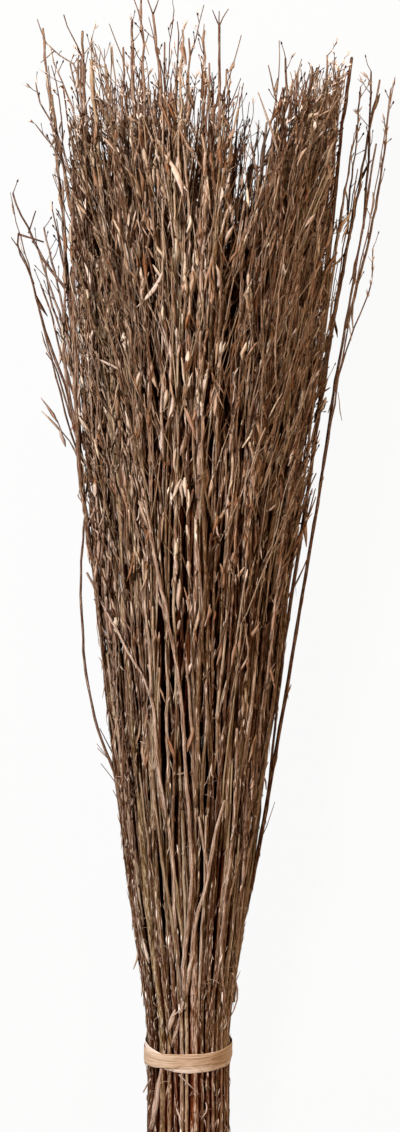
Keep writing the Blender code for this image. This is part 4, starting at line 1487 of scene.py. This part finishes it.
def husk_material(name, looks):
    """The pale husks, which get no painted shade deep in the bundle."""
    made, tree, shader = new_material(name, 0.65)
    grain = fibres(tree, around=2.0, along=3.0, flake_size=2.0, flake_amount=0.40)
    tone = streaked(tree, tone_of(tree)[0], grain.outputs["Streak"], 0.5)
    colour = ramp(tree, tone, [(0.0, looks.husk_dark), (1.0, looks.husk_light)])
    tree.links.new(colour, shader.inputs["Base Color"])
    return made


def cut_material(name, looks):
    """Cut wood: pale, with a darker pith in the middle and bark round it."""
    made, tree, shader = new_material(name, 0.8)
    level = tree.nodes.new("ShaderNodeVectorMath")
    level.operation = "MULTIPLY"
    level.inputs[1].default_value = (1.0, 1.0, 0.0)
    tree.links.new(attribute(tree, "grown_place").outputs["Vector"], level.inputs[0])
    reach = tree.nodes.new("ShaderNodeVectorMath")
    reach.operation = "LENGTH"
    tree.links.new(level.outputs["Vector"], reach.inputs[0])
    pale, dim, none = (1.0, 1.0, 1.0), (0.4, 0.4, 0.4), (0.0, 0.0, 0.0)
    rings = ramp(tree, reach.outputs["Value"], [(0.0, dim), (0.25, pale), (0.75, pale), (0.92, none)])
    wood = mixed(tree, tone_of(tree)[0], looks.cut_dark, looks.cut_light)
    tree.links.new(mixed(tree, rings, looks.bark_dark, wood), shader.inputs["Base Color"])
    return made


def stem_materials(looks):
    """The finishes of a stem, in the order of BARK, LEAF, HUSK and CUT. Each is made once."""
    makers = {
        "dried_bark": bark_material,
        "papery_leaf": leaf_material,
        "pale_husk": husk_material,
        "cut_wood": cut_material,
    }
    return [bpy.data.materials.get(name) or make(name, looks) for name, make in makers.items()]


def raffia_material(looks):
    """Pale, dry raffia with its fibres along the strip."""
    made, tree, shader = new_material("raffia_fibre", 0.5)
    grain = fibres(tree, around=3.0, along=0.35, flake_size=0.8, flake_amount=0.45)
    tone = streaked(tree, tone_of(tree)[0], grain.outputs["Streak"], 1.1)
    colour = ramp(tree, tone, [(0.0, looks.strip_dark), (0.5, looks.strip_mid), (1.0, looks.strip_light)])
    tree.links.new(colour, shader.inputs["Base Color"])
    bump(tree, shader, grain.outputs["Height"], 0.0003)
    return made


# Values that a user may change.


def rgb(name, description, default):
    return FloatVectorProperty(
        name=name, description=description, default=default, subtype="COLOR", size=3, min=0.0, max=1.0
    )


def metres(name, description, default):
    return FloatProperty(name=name, description=description, default=default, unit="LENGTH", precision=5)


def fraction(name, description, default):
    return FloatProperty(
        name=name, description=description, default=default, subtype="FACTOR", min=0.0, max=1.0
    )


def number(name, description, default, most):
    return IntProperty(name=name, description=description, default=default, min=2, max=most)


def watts(name, description, default):
    return FloatProperty(name=name, description=description, default=default, unit="POWER", min=0.0)


class BundleLooks(PropertyGroup):
    """Sizes and colours of the stems, leaves and tie."""

    kink: metres("Kink", "How far a stem steps aside at a leaf node", 0.0005)
    crowding: fraction("Crowding", "How much closer the leaf nodes stand near the tips", 0.40)
    node_swell: fraction("Node swelling", "How much thicker a stem is at a leaf node", 0.20)
    twiglet_share: fraction("Twiglets", "Share of twig nodes with a bud twig", 0.20)
    husk_share: fraction("Husks", "Share of the heads' bud twigs that still hold pale husks", 0.35)
    leaf_share: fraction("Twig leaves", "Share of twigs that hold a leaf", 0.30)
    deep_count: number("Deep stems", "How many loose stems fill the middle", 80, 160)
    near_count: number("Near stems", "How many loose stems rise to the surface", 66, 90)
    over_count: number("Over stems", "How many thin loose stems cross the surface", 70, 90)
    wander: metres("Wander", "How far a dried stem drifts from its course", 0.0018)
    bark_roughness: fraction("Bark roughness", "Roughness of the dry bark", 0.78)
    flake_amount: fraction("Flakes", "How much of the bark is papery and pale", 0.36)
    bark_darkest: rgb("Bark darkest", "Stem colour in the darkest streaks", (0.027, 0.0048, 0.0003))
    bark_dark: rgb("Bark dark", "Colour of the darker stems", (0.058, 0.0165, 0.0042))
    bark_mid: rgb("Bark mid", "Colour of most stems", (0.150, 0.070, 0.036))
    bark_light: rgb("Bark light", "Colour of the lighter stems", (0.352, 0.240, 0.176))
    bark_lightest: rgb("Bark lightest", "Colour of the palest streaks", (0.63, 0.535, 0.455))
    olive_dark: rgb("Olive dark", "Darkest streaks of the olive stems", (0.027, 0.0100, 0.0016))
    olive_mid: rgb("Olive mid", "Colour of most olive stems", (0.126, 0.070, 0.028))
    olive_light: rgb("Olive light", "Palest streaks of the olive stems", (0.41, 0.318, 0.222))
    flake_colour: rgb("Flake colour", "Papery skin left on the bark", (0.55, 0.45, 0.375))
    # Painted shade: bark and leaf colours are multiplied by these halfway into the bundle and deep in it.
    painted_half_shade: rgb("Half shade", "Stays of a colour halfway into the bundle", (0.335, 0.110, 0.030))
    painted_full_shade: rgb("Full shade", "Stays of a colour deep in the bundle", (0.105, 0.016, 0.0010))
    twig_dark: rgb("Twig dark", "Darkest young twigs and buds", (0.165, 0.055, 0.018))
    twig_light: rgb("Twig light", "Lightest young twigs", (0.585, 0.437, 0.338))
    golden: rgb("Golden", "Tint of the yellower stems and leaves", (1.0, 0.975, 0.84))
    rosy: rgb("Rosy", "Tint of the pinker stems and leaves", (1.0, 0.960, 0.945))
    leaf_dark: rgb("Leaf dark", "Darkest dry leaves", (0.158, 0.060, 0.022))
    leaf_mid: rgb("Leaf mid", "Most dry leaves", (0.335, 0.236, 0.181))
    leaf_light: rgb("Leaf light", "Palest dry leaves", (0.555, 0.480, 0.425))
    husk_dark: rgb("Husk dark", "Darkest husks at the tips", (0.42, 0.30, 0.235))
    husk_light: rgb("Husk light", "Palest husks at the tips", (0.78, 0.66, 0.58))
    cut_dark: rgb("Cut wood dark", "Darkest cut faces", (0.34, 0.22, 0.13))
    cut_light: rgb("Cut wood light", "Palest cut faces", (0.66, 0.50, 0.35))
    strip_dark: rgb("Raffia dark", "Darkest raffia fibres", (0.255, 0.158, 0.098))
    strip_mid: rgb("Raffia mid", "Most raffia fibres", (0.425, 0.298, 0.200))
    strip_light: rgb("Raffia light", "Palest raffia fibres", (0.57, 0.455, 0.375))


class StageLooks(PropertyGroup):
    """The floor, the lamps and the camera."""

    floor_colour: rgb("Floor", "Colour of the floor", (0.34, 0.34, 0.34))
    floor_glow: fraction("Floor glow", "How white the camera sees the floor", 0.94)
    world_colour: rgb("World colour", "Colour of the even light all round", (1.0, 0.43, 0.14))
    world_strength: fraction("World", "Strength of the even light all round", 0.13)
    fill_colour: rgb("Fill colour", "Colour of the weak lamp", (1.0, 0.75, 0.50))
    key_energy: watts("Key", "Power of the main lamp", 139.0)
    fill_energy: watts("Fill", "Power of the weak lamp", 47.0)
    camera_height: metres("Camera height", "Camera above the middle of the bundle", 4.2)
    seen_length: metres("Seen length", "How much of the bundle's length the camera takes in", 1.0188)
    seen_from: metres("Seen from", "Station where the view starts", 0.036)


class BUNDLE_OT_ringed_stems(Operator):
    """Grow the stems of the outer ring and of the ring behind it"""

    bl_idname = "bundle.ringed_stems"
    bl_label = "Ringed stems"

    def execute(self, context):
        looks = context.scene.bundle_looks
        outer = Habit(sides=8, twigs=0.75, leaves=0.85, peels=1.3, spacing=0.024)
        second = Habit(sides=6, twigs=0.6, leaves=0.70, peels=0.5)
        for i, (name, shoots) in enumerate(ringed_stems().items()):
            growth = Growth([SEED, i])
            tint = TINTS.get(i) or stem_tint(growth.rng)
            add_stem(growth, shoots, looks, outer if i < OUTER_COUNT else second, tint)
            growth.build(f"dried_{name}", stem_materials(looks), "stem_bark", name)
        return {"FINISHED"}


class BUNDLE_OT_inner_stems(Operator):
    """Grow the loose stems: deep inside the bundle, near its surface, and over it"""

    bl_idname = "bundle.inner_stems"
    bl_label = "Inner stems"

    def execute(self, context):
        looks = context.scene.bundle_looks
        deep = LooseGroup(
            looks.deep_count, depths=(0.0, 0.55), spreads=(-0.05, 0.25), radii=(0.0013, 0.0020), drift=0.10,
        )
        near = LooseGroup(
            looks.near_count, depths=(0.25, 0.62), spreads=(0.36, 0.42), radii=(0.0015, 0.0024), drift=0.20,
        )
        over = LooseGroup(
            looks.over_count, depths=(0.92, 0.96), spreads=(0.05, 0.11), radii=(0.0011, 0.0018), drift=0.40,
            fray=0.10, forks=1,
        )
        inside = Habit(sides=4, twigs=0.2, leaves=0.06, peels=0.0, spacing=0.042, fine=False)
        close = Habit(sides=5, twigs=0.55, leaves=0.95, peels=0.20, spacing=0.034)
        atop = Habit(sides=5, twigs=0.6, leaves=1.1, peels=0.80, spacing=0.028)
        # The deep stems' tones are darkened to 0.60 as painted shade; the over stems' tones are scaled by
        # 1.1, a little lighter.
        for i, (label, group, habit, parts, darker) in enumerate((
            ("deep", deep, inside, 1, 0.60),
            ("near", near, close, 2, 1.0),
            ("over", over, atop, 2, 1.1),
        )):
            stems = loose_stems(group, np.random.default_rng([SEED, 500 + i]))
            for part in range(parts):
                growth = Growth([SEED, 600 + 10 * i + part])
                for shoots in stems[part::parts]:
                    add_stem(growth, shoots, looks, habit, stem_tint(growth.rng, darker))
                name = f"inner_stems_{label}" + (f"_{part + 1}" if parts > 1 else "")
                growth.build(name, stem_materials(looks), "stem_bark", "inner_stems")
        return {"FINISHED"}


class BUNDLE_OT_front_stems(Operator):
    """Lay the stems that cross over the others, the spray at the left and the tallest tips"""

    bl_idname = "bundle.front_stems"
    bl_label = "Front stems"

    def execute(self, context):
        looks = context.scene.bundle_looks
        growth = Growth([SEED, 700])
        placed = FRONT_STEMS + LEFT_SPRAY + RIGHT_SPRAY + WISPS + TALL_SPRIGS + HEAD_SPRIGS
        for sprig in [*placed, *edge_sprigs(growth.rng), *surface_sprigs(growth.rng)]:
            add_sprig(growth, sprig, looks)
        # Mats of broad papery leaves lie beside the notch.
        rng = growth.rng
        for x, stations, count in MATS:
            for _ in range(count):
                station, place = rng.uniform(*stations), rng.normal(x, 0.008)
                if station > loose_limit(place) - 0.045:
                    continue
                spot = drape(station, place, -rng.uniform(0.006, 0.028))
                run = unit(np.array([rng.normal(0.1, 0.18), 1.0, rng.normal(0, 0.08)]))
                length, width = (rng.uniform(*sizes) for sizes in MAT_LEAF)
                add_leaf(growth, rng, spot, run, length, width, abs(rng.normal(0, 0.2)), math.pi / 2, True)
        growth.build("inner_stems_front", stem_materials(looks), "stem_bark", "inner_stems")
        return {"FINISHED"}


def tie_frame():
    """The tie's middle, and its own directions: across, up and towards the cut ends."""
    middle = np.array([float(centre_x(TIE_AT)), TIE_AT - LENGTH / 2, TIE_LIFT + TIE_HALF_HEIGHT])
    return middle, np.array([[1.0, 0, 0], [0, 0, 1.0], [0, -1.0, 0]])


def tie_points(angle, out, slide):
    """Points round the tie: how far outside the stems, and how far towards the cut ends."""
    middle, axes = tie_frame()
    angle = np.asarray(angle, float)
    x = (TIE_HALF_WIDTH + out) * np.cos(angle)
    y = (TIE_HALF_HEIGHT + out) * np.sin(angle)
    local = np.stack(np.broadcast_arrays(x, y, RAFFIA_SLANT * y + slide), axis=-1)
    return middle + local @ axes


def add_strip(growth, points, outward, widths, thickness, shade, ridges=9):
    """A flat strip of raffia: its fibres stand as fine ridges on both faces."""
    rng = growth.rng
    rows = len(points)
    run = unit(np.gradient(points, axis=0))
    side = unit(np.cross(run, outward))
    up = np.cross(side, run)
    count = 2 * ridges
    across_share = np.linspace(-1, 1, count + 1)
    height = rng.uniform(0.35, 1.0, count + 1)
    height[1::2] *= 0.45
    drift = 1 + 0.15 * np.sin(np.linspace(0, 9, rows))[:, None] * rng.normal(0, 1, count + 1)
    crown = np.sqrt(np.maximum(0.0, 1 - across_share**4)) * height * drift
    x = across_share * widths[:, None]
    y = thickness / 2 * np.clip(crown, 0.12, 1.0)
    ring = np.concatenate([np.stack([x, -y], -1), np.stack([x, y], -1)[:, ::-1]], axis=1)
    growth.sweep(points, side, up, ring, RAFFIA, (shade, 0.0, 0.5), (0.0, 0.1))


class BUNDLE_OT_raffia_tie(Operator):
    """Wind the raffia strip twice round the bundle and knot it"""

    bl_idname = "bundle.raffia_tie"
    bl_label = "Raffia tie"

    def execute(self, context):
        looks = context.scene.bundle_looks
        growth = Growth([SEED, 900])
        turned = np.linspace(0, 2, 193)
        angle = KNOT_ANGLE + 2 * math.pi * turned
        out = RAFFIA_GAP + RAFFIA_THICKNESS / 2 + RAFFIA_STEP * turned
        # The second turn leaves an edge of the first one bare, and crosses it on the left.
        left = np.maximum(0.0, -np.cos(angle)) ** 2
        swap = 1 - 2.4 * left
        slide = BARE_EDGE / 2 * swap * np.cos(math.pi * np.clip((turned - 0.9) / 0.2, 0, 1))
        points = tie_points(angle, out, slide)
        outward = unit(tie_points(angle, out + 0.01, slide) - points)
        waver = 1 + 0.03 * np.sin(5 * angle) + 0.02 * np.sin(13 * angle + 1)
        half = RAFFIA_WIDTH / 2 * waver
        for turn, shade in zip((turned <= 1, turned >= 1), TURN_SHADES):
            add_strip(growth, points[turn], outward[turn], half[turn], RAFFIA_THICKNESS, shade)
        # The knot: the strip's two ends crossed over each other.
        for i, tilt in enumerate(KNOT_TILTS):
            t = np.linspace(-1, 1, 15)
            around = KNOT_ANGLE + t * KNOT_SIZE[1] / TIE_HALF_WIDTH
            rise = RAFFIA_GAP + KNOT_OUT + KNOT_STEP * i + KNOT_SIZE[0] * 0.75 * (1 - t * t)
            points = tie_points(around, rise, tilt * t * KNOT_SIZE[2])
            outward = unit(tie_points(around, rise + 0.01, tilt * t * KNOT_SIZE[2]) - points)
            half = np.full(len(t), KNOT_STRAND[0] / 2)
            add_strip(growth, points, outward, half, KNOT_STRAND[1], 0.45, 5)
        for length, swing in zip(TAIL_LENGTHS, TAIL_SWINGS):
            t = np.linspace(0, 1, 16)
            around = KNOT_ANGLE + swing * t + 0.03 * np.sin(5 * t)
            rise = TAIL_OUT - 0.0012 + 0.0010 * np.sin(4 * t)
            points = tie_points(around, rise, length * t)
            outward = unit(tie_points(around, rise + 0.01, length * t) - points)
            half = TAIL_STRAND[0] / 2 * (1 - 0.5 * t)
            add_strip(growth, points, outward, half, TAIL_STRAND[1], 0.6, 4)
        growth.build("raffia_strip", [raffia_material(looks)], "raffia", "raffia_tie")
        return {"FINISHED"}


class BUNDLE_OT_loose_bits(Operator):
    """Add the fallen leaf and the snapped twigs caught between the stems"""

    bl_idname = "bundle.loose_bits"
    bl_label = "Loose bits"

    def execute(self, context):
        looks = context.scene.bundle_looks
        growth = Growth([SEED, 950])

        def bit(start, stop, out, widths, depths, shade, sag=0.0, **shape):
            """A bit from one (station, x) to another, laid over the stems and bowed sideways."""
            t = np.linspace(0, 1, len(BLADE))
            station, x = (start[i] * (1 - t) + stop[i] * t for i in range(2))
            points = drape(station, x + sag * np.sin(math.pi * t), out)
            growth.tube(points, widths, depths, 6, LEAF, (shade, 0.2, 1.0), **shape)

        taper = np.linspace(1.0, 0.5, len(BLADE))
        bit((0.152, -0.0150), (0.141, -0.0245), 0.0040, 0.0006, 0.0006, 0.70, 0.0015)
        bit((0.147, -0.0225), (0.126, -0.0285), 0.0040, 0.0026 * BLADE, 0.0003, 0.62, roll=0.2)
        bit((0.0880, -0.0190), (0.0705, -0.0010), 0.0012, 0.0006 * taper, 0.0006 * taper, 0.95)
        bit((0.0820, -0.0440), (0.0680, -0.0515), -0.0020, 0.0012 * taper, 0.0010 * taper, 0.80)
        bit((0.178, 0.0290), (0.128, 0.0215), 0.0030, 0.0011, 0.0004, 0.85, 0.0085, wind=1.6)
        bit((0.806, -0.0330), (0.774, -0.0570), 0.0060, 0.0020 * BLADE, 0.0004, 0.75, 0.0040)
        bit((0.908, -0.0306), (0.872, -0.0153), 0.0060, 0.0030 * BLADE, 0.0005, 0.80, 0.0030, roll=0.4)
        bit((0.058, -0.0215), (0.045, -0.0160), 0.0015, 0.0010 * BLADE, 0.0005, 1.00)
        bit((0.052, -0.0190), (0.038, -0.0170), 0.0015, 0.0008 * BLADE, 0.0005, 1.00)
        bit((0.063, 0.0050), (0.048, 0.0010), 0.0015, 0.0008 * BLADE, 0.0005, 0.95, 0.0030)
        self.add_shreds(growth)
        growth.build("loose_bits", stem_materials(looks)[: LEAF + 1], "stem_bark")
        return {"FINISHED"}

    def add_shreds(self, growth):
        """Short curled shreds of bark caught between the lower stems."""
        rng = growth.rng
        for _ in range(SHREDS):
            station = rng.choice((rng.uniform(0.04, 0.09), rng.uniform(0.125, 0.45)), p=(0.2, 0.8))
            wide = float(TIE_HALF_WIDTH + FAN_HALF_WIDTH * opening(station))
            x = float(centre_x(station)) + wide * rng.uniform(-0.95, 0.95)
            base = drape(station, x, rng.uniform(0.0, 0.002))
            heading = unit(rng.normal(0, 1, 3) * (0.4, 1.0, 0.2))
            pull = unit(rng.normal(0, 1, 3) * (0.8, 1.0, 0.4))
            points = grow(base, heading, pull, rng.uniform(0.005, 0.016), 0.0026, 0.22, 0.12, rng)
            thick = rng.uniform(0.0002, 0.0004)
            growth.tube(points, thick, thick, 3, LEAF, (rng.uniform(0.1, 0.8), 0.2, 1.0))


class BUNDLE_OT_stage(Operator):
    """Lay the pale floor and place the lamps and the camera above the bundle"""

    bl_idname = "bundle.stage"
    bl_label = "Stage"

    def execute(self, context):
        looks = context.scene.bundle_stage
        bpy.ops.mesh.primitive_plane_add(size=FLOOR_SIZE, location=(0, 0, -FLOOR_GAP))
        floor = context.object
        floor.name = "floor"
        made, tree, shader = new_material("pale_floor", 0.9)
        shader.inputs["Base Color"].default_value = (*looks.floor_colour, 1.0)
        glow = tree.nodes.new("ShaderNodeEmission")
        path = tree.nodes.new("ShaderNodeLightPath")
        seen = math_node(tree, "MAXIMUM", path.outputs["Is Camera Ray"], path.outputs["Is Glossy Ray"])
        seen = math_node(tree, "MAXIMUM", seen, path.outputs["Is Transmission Ray"])
        mix = tree.nodes.new("ShaderNodeMixShader")
        tree.links.new(math_node(tree, "MULTIPLY", seen, looks.floor_glow), mix.inputs[0])
        tree.links.new(shader.outputs[0], mix.inputs[1])
        tree.links.new(glow.outputs[0], mix.inputs[2])
        tree.links.new(mix.outputs[0], tree.nodes["Material Output"].inputs["Surface"])
        floor.data.materials.append(made)

        world = bpy.data.worlds.new("studio")
        context.scene.world = world
        world.use_nodes = True
        sky = world.node_tree
        back = sky.nodes["Background"]
        path = sky.nodes.new("ShaderNodeLightPath")
        plain = math_node(sky, "SUBTRACT", 1.0, path.outputs["Is Camera Ray"])
        strength = math_node(sky, "MULTIPLY", plain, looks.world_strength)
        strength = math_node(sky, "ADD", strength, path.outputs["Is Camera Ray"])
        sky.links.new(strength, back.inputs["Strength"])
        sky_colour = mixed(sky, path.outputs["Is Camera Ray"], looks.world_colour, (1.0, 1.0, 1.0))
        sky.links.new(sky_colour, back.inputs["Color"])

        for name, energy, colour, size, place in (
            ("key", looks.key_energy, (1, 1, 1), KEY_SIZE, KEY_PLACE),
            ("fill", looks.fill_energy, looks.fill_colour, FILL_SIZE, FILL_PLACE),
        ):
            lamp = bpy.data.lights.new(name, "AREA")
            lamp.energy, lamp.size, lamp.color = energy, size, colour
            holder = bpy.data.objects.new(name, lamp)
            context.scene.collection.objects.link(holder)
            holder.location = place
            holder.rotation_euler = (-holder.location).to_track_quat("-Z", "Y").to_euler()

        camera = bpy.data.cameras.new("camera")
        holder = bpy.data.objects.new("camera", camera)
        context.scene.collection.objects.link(holder)
        middle = looks.seen_from + looks.seen_length / 2 - LENGTH / 2
        holder.location = (0.0, middle, looks.camera_height + SEEN_PLANE)
        camera.sensor_width = SENSOR_WIDTH
        camera.lens = SENSOR_WIDTH * looks.camera_height / looks.seen_length
        camera.clip_start, camera.clip_end = 0.05, 50.0
        context.scene.camera = holder
        context.scene.view_settings.view_transform = "Standard"
        return {"FINISHED"}


class VIEW3D_PT_bundle(Panel):
    """Lists the bundle's operators and their values"""

    bl_label = "Dried bundle"
    bl_idname = "VIEW3D_PT_bundle"
    bl_space_type = "VIEW_3D"
    bl_region_type = "UI"
    bl_category = "Dried bundle"

    def draw(self, context):
        for operator in STEPS:
            self.layout.operator(operator.bl_idname)
        for group in (context.scene.bundle_looks, context.scene.bundle_stage):
            for name in group.__annotations__:
                self.layout.prop(group, name)


STEPS = (
    BUNDLE_OT_stage,
    BUNDLE_OT_ringed_stems,
    BUNDLE_OT_inner_stems,
    BUNDLE_OT_front_stems,
    BUNDLE_OT_raffia_tie,
    BUNDLE_OT_loose_bits,
)
CLASSES = (BundleLooks, StageLooks, *STEPS, VIEW3D_PT_bundle)


def register():
    for cls in CLASSES:
        bpy.utils.register_class(cls)
    bpy.types.Scene.bundle_looks = PointerProperty(type=BundleLooks)
    bpy.types.Scene.bundle_stage = PointerProperty(type=StageLooks)


def unregister():
    del bpy.types.Scene.bundle_stage
    del bpy.types.Scene.bundle_looks
    for cls in reversed(CLASSES):
        bpy.utils.unregister_class(cls)


def main():
    register()
    bpy.ops.bundle.stage()
    bpy.ops.bundle.ringed_stems()
    bpy.ops.bundle.inner_stems()
    bpy.ops.bundle.front_stems()
    bpy.ops.bundle.raffia_tie()
    bpy.ops.bundle.loose_bits()


if __name__ == "__main__":
    main()
